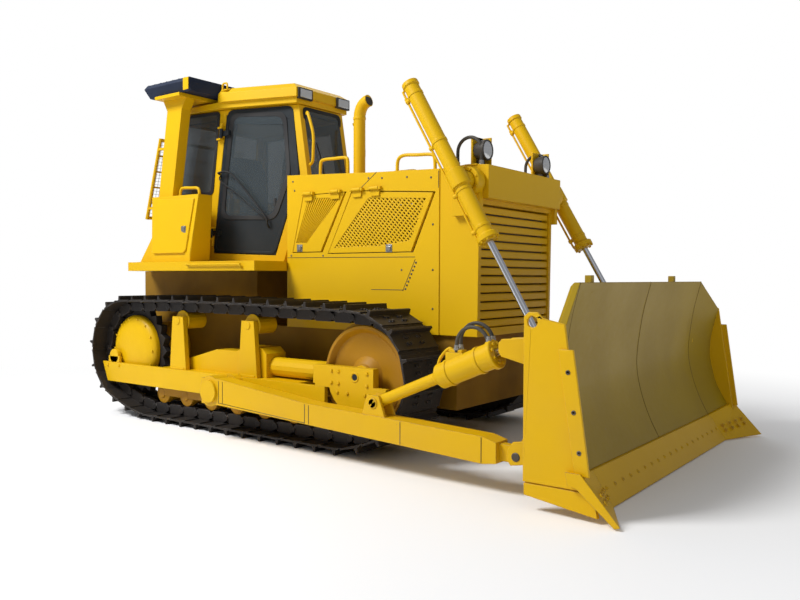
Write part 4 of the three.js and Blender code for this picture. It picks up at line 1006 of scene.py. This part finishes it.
def cab_side(x, z, s, off=0):
    low, high = (RINGS[0], RINGS[1]) if z < RINGS[1][0] else (RINGS[1], RINGS[2])
    t = (z - low[0]) / (high[0] - low[0])
    (xp, yp), (xf, yf) = [[a + (b - a) * t for a, b in zip(p, q)] for p, q in ((low[1], high[1]), (low[2], high[2]))]
    if x < xp:
        return at(x, s * (yp + (600 - yp) * (xp - x) / max(xp, 1) + off), z)
    return at(x, s * (yp + (x - xp) / (xf - xp) * (yf - yp) + off), z)


def rounded_loop(points, radius):
    loop = []
    for i, (x, z) in enumerate(points):
        (px, pz), (nx, nz) = points[i - 1], points[(i + 1) % len(points)]
        back, ahead = math.dist((x, z), (px, pz)), math.dist((x, z), (nx, nz))
        a = (x + (px - x) * radius / back, z + (pz - z) * radius / back)
        b = (x + (nx - x) * radius / ahead, z + (nz - z) * radius / ahead)
        for k in range(6):
            t = k / 5
            loop.append(tuple((1 - t) ** 2 * p + 2 * t * (1 - t) * q + t * t * r for p, q, r in zip(a, (x, z), b)))
    return loop


def seal_band(bm, outer, inner, place, thick):
    rows = [[bm.verts.new(place(x, z, off)) for x, z in line]
            for line, off in ((outer, 1), (outer, thick), (inner, thick), (inner, 1))]
    for low, high in zip(rows, rows[1:] + rows[:1]):
        band(bm, low, high)


def pane_end(bm, outline, place, near, far):
    prism(bm, [place(x, z, near) for x, z in outline], [place(x, z, far) for x, z in outline])


def inset(points, gap):
    cx = sum(x for x, _ in points) / len(points)
    cz = sum(z for _, z in points) / len(points)
    return [(x + (gap if x < cx else -gap), z + (gap if z < cz else -gap)) for x, z in points]


DOOR_PANE = [(684, 1918), (1236, 1900), (1400, 2300), (1338, 2858), (802, 2884)]
DOOR_EDGE = [(586, 1590), (1230, 1566), (1494, 2287), (1414, 2836), (748, 2875)]
DOOR_LIP = [(572, 1580), (1240, 1556), (1504, 2287), (1422, 2934), (752, 2938)]
SIDE_PANE = [(110, 2150), (560, 2150), (646, 2922), (110, 2922)]
for side, s in (("right", -1), ("left", 1)):
    def on_side(x, z, off):
        return cab_side(x, z, s, off)

    bm = bmesh.new()
    seal_band(bm, rounded_loop(inset(DOOR_PANE, -22), 90), rounded_loop(inset(DOOR_PANE, 16), 80), on_side, 9)
    settle(f"door_seal_{side}", bm, f"cab_door_{side}_body", rubber, sharp=50)
    bm = bmesh.new()
    seal_band(bm, rounded_loop(DOOR_LIP, 60), rounded_loop(inset(DOOR_EDGE, 14), 50), on_side, 5)
    settle(f"door_trim_{side}", bm, f"cab_door_{side}_body", door_paint, sharp=50)
    bm = bmesh.new()
    tube(bm, [cab_side(660, 2330, s, 4), cab_side(672, 2338, s, 40), cab_side(760, 2345, s, 46), cab_side(860, 2290, s, 46),
              cab_side(1060, 2060, s, 46), cab_side(1180, 1900, s, 44), cab_side(1190, 1840, s, 34), cab_side(1180, 1810, s, 4)],
         9, 10, 6)
    tube(bm, [cab_side(664, 2318, s, 4), cab_side(690, 2260, s, 30), cab_side(900, 2110, s, 34), cab_side(1120, 1930, s, 34),
              cab_side(1168, 1870, s, 6)], 6, 8, 6)
    block(bm, 1236, 1262, s * 372 - 16, s * 372 + 16, 2010, 2080)
    settle(f"door_bars_{side}", bm, f"cab_door_{side}_body", rubber, sharp=50)
    bm = bmesh.new()
    pane_end(bm, [(804, 2800), (1326, 2762), (1338, 2858), (802, 2884)], on_side, 5.5, 7)
    pane_end(bm, [(684, 1916), (1236, 1900), (1256, 1948), (694, 1968)], on_side, 1, 3)
    settle(f"door_pane_ends_{side}", bm, f"cab_door_{side}_body", tinted)
    bm = bmesh.new()
    pane_end(bm, [(112, 2836), (636, 2836), (646, 2922), (112, 2922)], on_side, 1, 3)
    settle(f"side_pane_end_{side}", bm, "chassis", tinted)
    bm = bmesh.new()
    seal_band(bm, rounded_loop(inset(SIDE_PANE, -14), 50), rounded_loop(inset(SIDE_PANE, 16), 44), on_side, 8)
    settle(f"side_seal_{side}", bm, "chassis", rubber, sharp=50)
    bm = bmesh.new()
    for low, high in ((1640, 1770), (2690, 2820)):
        a, b = cab_side(560 + (low - 1600) * 0.108, low, s, 12), cab_side(560 + (high - 1600) * 0.108, high, s, 12)
        turned(bm, a, b, capped((b - a).length * 1000, 17, 3), 20)
    settle(f"door_hinge_covers_{side}", bm, "chassis", yellow_paint)


# Grab rails: bent steel tube welded on the hood, the cowl and the box tops, and up the cab's front corner,
# with a thinner step rail along the deck's outer edge. All are painted with the machine.
for side, s in (("right", -1), ("left", 1)):
    bm = bmesh.new()
    for path in (
        [(2832, 570, 2176), (2838, 570, 2270), (2891, 570, 2307), (3030, 570, 2300), (3150, 570, 2293), (3190, 570, 2268),
         (3198, 570, 2160)],
        [(1937, 500, 2210), (1940, 500, 2330), (1975, 500, 2360), (2100, 500, 2361), (2220, 500, 2358), (2250, 500, 2330),
         (2253, 500, 2200)],
        [(1603, 322, 2834), (1640, 345, 2825), (1712, 356, 2640), (1716, 358, 2480), (1700, 350, 2390), (1640, 318, 2368)],
        [(390, 800, 2100), (394, 800, 2160), (430, 800, 2188), (560, 800, 2182), (640, 800, 2176), (668, 800, 2150),
         (672, 800, 2095)],
    ):
        tube(bm, [at(x, s * y, z) for x, y, z in path], 14, 14, 5)
    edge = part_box("platform")[1][1] * 1000
    tube(bm, [at(x, s * (edge + y), z) for x, y, z in (
        (752, -12, 1452), (756, 14, 1452), (786, 22, 1452), (1100, 22, 1451), (1450, 22, 1450), (1480, 22, 1444),
        (1488, 14, 1424), (1488, -12, 1420))], 9, 12, 5)
    settle(f"grab_rails_{side}", bm, "chassis", yellow_paint, sharp=50)


# Side box lids: a thick folded steel plate on each box, proud of its face and leaning in with it, cut off at
# the lower corners and held by a bright paddle latch.
LID = [(130, 1585), (160, 1560), (610, 1560), (646, 1590), (690, 2070), (130, 2090)]
LID_FOOT = 1560
for side, s in (("right", -1), ("left", 1)):
    bm = bmesh.new()
    low, high = [[bm.verts.new(at(x, s * (y - max(z - LID_FOOT, 0) * (0.128 if x > 400 else 0.055)), z)) for x, z in LID]
                 for y in (931, 947)]
    bm.faces.new(low)
    bm.faces.new(high)
    band(bm, low, high)
    settle(f"box_lid_{side}", bm, "chassis", yellow_paint, bevel=0.006, sharp=20)
    bm = bmesh.new()
    y = s * (947 - 210 * 0.125)
    block(bm, 560, 625, min(y, y + s * 6), max(y, y + s * 6), 1750, 1815)
    block(bm, 574, 611, min(y, y + s * 14), max(y, y + s * 14), 1762, 1803)
    settle(f"box_latch_{side}", bm, "chassis", latch_steel, bevel=0.003)


# Windscreen: the same rubber section is pressed round the narrow pane in the cab's nose, with one wiper arm
# and its blade of black rod and rubber.
def on_front(y, z, off):
    x = 1590 - (2290 - z) * 0.323 if z < 2290 else 1590 - (z - 2290) * 0.169
    return at(x + off, y, z)


bm = bmesh.new()
seal_band(bm, rounded_loop([(-262, 1934), (262, 1934), (262, 2928), (-262, 2928)], 60),
          rounded_loop([(-230, 1966), (230, 1966), (230, 2896), (-230, 2896)], 50), on_front, 8)
tube(bm, [on_front(20, 1980, 6), on_front(10, 2010, 30), on_front(-60, 2240, 26), on_front(-90, 2330, 16)], 7, 8, 5)
tube(bm, [on_front(-40, 2040, 14), on_front(-90, 2330, 14), on_front(-140, 2600, 14)], 6, 8, 5)
settle("screen_seal", bm, "chassis", rubber, sharp=50)
bm = bmesh.new()
pane_end(bm, [(-232, 2846), (232, 2846), (232, 2898), (-232, 2898)], on_front, 1, 3)
settle("screen_pane_end", bm, "chassis", tinted)


# Rear guard's wire: bright steel wire in both directions, welded at its crossings and to the leaning tube
# frame behind the rear pane.
WIRE_R, WIRE_ACROSS, WIRE_UP = 1.8, 31, 24
GUARD_LOW, GUARD_HIGH = (-500, 1960), (-256, 2750)
guard_lean = math.atan2(GUARD_HIGH[0] - GUARD_LOW[0], GUARD_HIGH[1] - GUARD_LOW[1])
bm = bmesh.new()
turned(bm, (0, 0, -0.413), (0, 0, 0.413), [(0, 0), (0, WIRE_R), (826, WIRE_R), (826, 0)], 6)
upright_wires = [(at(-378, -525 + 35 * i, 2355), (0, guard_lean, 0)) for i in range(WIRE_ACROSS)]
set_out("guard_wires_upright", bm, upright_wires, "chassis", latch_steel)
bm = bmesh.new()
turned(bm, (0, -0.55, 0), (0, 0.55, 0), [(0, 0), (0, WIRE_R), (1100, WIRE_R), (1100, 0)], 6)
level_wires = [(at(-504 + 244 * (i + 0.5) / WIRE_UP, 0, 1960 + 790 * (i + 0.5) / WIRE_UP), (0, 0, 0)) for i in range(WIRE_UP)]
set_out("guard_wires_level", bm, level_wires, "chassis", latch_steel)


# Operator's seat: a foam cushion and a tall back, covered in dark woven cloth, on a moulded suspension base
# that is bolted to the cab floor.
bm = bmesh.new()
hull_of(bm, [(x, s * y, z) for s in (-1, 1) for x, y, z in (
    (500, 170, 1535), (820, 170, 1535), (480, 180, 1860), (840, 180, 1860))])
settle("seat_base", bm, "chassis", console_plastic, bevel=0.01)
bm = bmesh.new()
hull_of(bm, [(x, s * y, z) for s in (-1, 1) for x, y, z in (
    (440, 235, 1862), (870, 230, 1866), (425, 248, 1930), (898, 244, 1935), (520, 215, 2000), (870, 205, 1996))])
hull_of(bm, [(x, s * y, z) for s in (-1, 1) for x, y, z in (
    (425, 238, 1930), (520, 232, 1990), (402, 226, 2450), (500, 210, 2440), (415, 170, 2560), (480, 160, 2556))])
pad = settle("seat_cushions", bm, "chassis", seat_cloth, bevel=0.03, sharp=60)
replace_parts(pad, "seat")


# Hydraulic hoses: black rubber over wire braid, in one stiff loop on each side between two screwed steel
# fittings on top of the guard, just inside the lift cylinders.
hose_rubber = finish("hose_rubber", (0.02, 0.022, 0.024), (0.015, 0.016, 0.018), (0.08, 0.08, 0.08), 0.35, dust=0.2,
                     grain_size=200, bump=0.1)
HOSE_START, HOSE_END, HOSE_Y, HOSE_R = 3385, 3592, 540, 13


def looped(start, end, low, spring, y, foot):
    middle, reach = (start + end) / 2, (end - start) / 2
    arch = [(middle - reach * math.cos(a), spring + reach * math.sin(a)) for a in (math.pi * i / 8 for i in range(9))]
    return [at(x, y, z) for x, z in [(start, low), *arch, (end, foot)]]


for side, s in (("right", -1), ("left", 1)):
    bm = bmesh.new()
    for x in (HOSE_START, HOSE_END):
        turned(bm, at(x, s * HOSE_Y, 2172), at(x, s * HOSE_Y, 2214), [(0, 0), (0, 24), (12, 24), (12, 18), (42, 18), (42, 0)], 12)
    settle(f"hose_fittings_{side}", bm, "chassis", latch_steel)
    route = looped(HOSE_START, HOSE_END, 2196, 2290, s * HOSE_Y, 2196)
    line = bent(route, 5)
    bm = bmesh.new()
    tube(bm, route, HOSE_R, 16, 5)
    hose = settle(f"hose_{side}", bm, "chassis", hose_rubber, sharp=60)


# Tilt hoses: two short loops of thinner hose, screwed into the valve block and into the ports by the gland.
# Both ends are on the right arm, so the hoses rise and fall with it.
BLOCK_PORT, GLAND_PORT = 3908, 4146
for name, y, spring in (("outer", -1300, 935), ("inner", -1352, 912)):
    route = looped(BLOCK_PORT, GLAND_PORT, 866, spring, y, 895)
    line = bent(route, 5)
    bm = bmesh.new()
    turned(bm, at(BLOCK_PORT, y, 878), at(BLOCK_PORT, y, 912), [(0, 0), (0, 19), (16, 19), (16, 15), (34, 15), (34, 0)], 6)
    turned(bm, at(4145, y, 936), at(4145, y, 978), [(0, 0), (0, 19), (26, 19), (26, 15), (42, 15), (42, 0)], 6)
    settle(f"tilt_fittings_{name}", bm, "push_arm_right_body", latch_steel)
    bm = bmesh.new()
    tube(bm, route, 12, 14, 5)
    hose = settle(f"tilt_hose_{name}", bm, "push_arm_right_body", hose_rubber, sharp=60)


# Exhaust: one steel pipe bent forward at its top, pushed over a collar on the hood and clamped, painted with
# the machine. Its closed mouth is a black disc: soot and painted shade for the dark bore of an open pipe.
PIPE_X, PIPE_R = 1960, 55
bm = bmesh.new()
tube(bm, [at(x, 0, z) for x, z in (
    (PIPE_X, 2226), (PIPE_X, 2400), (PIPE_X, 2600), (PIPE_X, 2790), (1968, 2856), (1994, 2908), (2036, 2940), (2072, 2950))],
     PIPE_R, 36, 6)
turned(bm, at(PIPE_X, 0, 2224), at(PIPE_X, 0, 2300), [(0, 0), (0, 82), (10, 82), (12, 75), (66, 72), (72, 60), (72, 0)], 40)
turned(bm, at(PIPE_X, 0, 2786), at(PIPE_X, 0, 2812), capped(26, PIPE_R + 4, 3), 40)
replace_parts(settle("exhaust_pipe", bm, "chassis", yellow_paint, sharp=40), "exhaust_stack")
bm = bmesh.new()
# Black disc over the closed end: soot and painted shade in place of the open bore.
mouth, mouth_way = at(2072, 0, 2950), Vector((0.963, 0, 0.268))
turned(bm, mouth - mouth_way * 0.002, mouth + mouth_way * 0.002, [(0, 0), (0, 47), (4, 47), (4, 0)], 32)
settle("exhaust_mouth", bm, "chassis", lamp_black)


# Hood seams and screws: the dark joints between the cowl, hood and guard sheets, and the button-headed steel
# screws that hold the sheets to the frame beneath.
bm = bmesh.new()
for s in (-1, 1):
    for a, b in (((3031, 1478), (2915, 1242)), ((2638, 2188), (2470, 2068)), ((3250, 2150), (3250, 2035)),
                 ((1640, 1512), (3024, 1502)), ((2915, 1242), (2600, 1242))):
        strip(bm, a, b, 5, s * (HOOD_SIDE - 1), s * (HOOD_SIDE + 0.8))
settle("hood_seams", bm, "chassis", lamp_black)
button_spots = []
for s in (-1, 1):
    seam = [(3048 - 116 * (i + 0.5) / 8, 1472 - 236 * (i + 0.5) / 8) for i in range(8)]
    button_spots += [(at(x, s * HOOD_SIDE, z), facing(s)) for x, z in (
        *seam, (1700, 2180), (1720, 2100), (2560, 2150), (2700, 2140), (2950, 2130), (3180, 2110), (1680, 1530), (2060, 1525),
        (2900, 1400), (3200, 1100), (3200, 1400), (3200, 1750))]
bm = bmesh.new()
turned(bm, (0, 0, -0.002), (0, 0, 0.005), [(0, 0), (0, 9), (3, 9), (6, 6), (7, 0)], 14)
set_out("hood_buttons", bm, button_spots, "chassis", bolt_steel)


# Platform tread: short bars rolled into the deck plate on each side of the cab, each across its neighbours,
# so that a boot grips.
DECK_TOP = 1480
tread_spots = []
for s in (-1, 1):
    for i in range(21):
        for j in range(6):
            if i > 8 or j > 4:
                tread_spots.append((at(760 + 42 * i if i > 8 else -100 + 24 * i, s * (660 + 56 * j), DECK_TOP),
                                    (0, 0, math.radians(45 if (i + j) % 2 else -45))))
bm = bmesh.new()
bar = [(-0.014, -0.003), (0.014, -0.003), (0.014, 0.003), (-0.014, 0.003)]
prism(bm, [(x, y, -0.002) for x, y in bar], [(x * 0.8, y * 0.6, 0.003) for x, y in bar])
set_out("deck_tread", bm, tread_spots, "chassis", yellow_paint)


# Arm fittings: a bolted cap over each trunnion, the heads of the brace's foot pins, and the weld beads where the
# arms' box plates join. The caps and pins are steel, painted with the arms; the beads are dark brown, painted shade
# along the joins.
ARM_FACE = 1400
TRUNNION_X, TRUNNION_Z = 1540, 405
for side, s in (("right", -1), ("left", 1)):
    bm = bmesh.new()
    y = s * ARM_FACE
    turned(bm, at(TRUNNION_X, y, TRUNNION_Z), at(TRUNNION_X, y + s * 14, TRUNNION_Z), [
        (0, 0), (0, 84), (10, 82), (14, 70), (14, 0)], 40)
    turned(bm, at(foot_x, y, foot_z), at(foot_x, y - s * 8, foot_z), [(0, 0), (0, 30), (8, 30), (8, 0)], 24)
    turned(bm, at(foot_x, y - s * 9, foot_z), at(foot_x, y, foot_z), [(0, 0), (0, 40), (6, 38), (9, 30), (9, 0)], 28)
    settle(f"arm_caps_{side}", bm, f"push_arm_{side}_body", arm_paint, bevel=0.0015)
    cap_bolts = [(at(x, s * (ARM_FACE + 14), z), facing(s)) for x, z in rim((TRUNNION_X, TRUNNION_Z), 52, 6)]
    set_out(f"arm_cap_bolts_{side}", hex_head(10, 7), cap_bolts, f"push_arm_{side}_body", arm_paint)
    bm = bmesh.new()
    for a, b in (((1652, 322), (1652, 492)), ((1700, 322), (1700, 486)), ((2612, 272), (2612, 398)), ((2652, 270), (2652, 394)),
                 ((3493, 232), (3493, 368)), ((4124, 200), (4124, 344))):
        strip(bm, a, b, 6, s * (ARM_FACE - 1), s * (ARM_FACE + 1.6))
    strip(bm, (1668, 318), (2600, 268), 5, s * (ARM_FACE - 1), s * (ARM_FACE + 1.2))
    settle(f"arm_welds_{side}", bm, f"push_arm_{side}_body", weld_bead_shade)
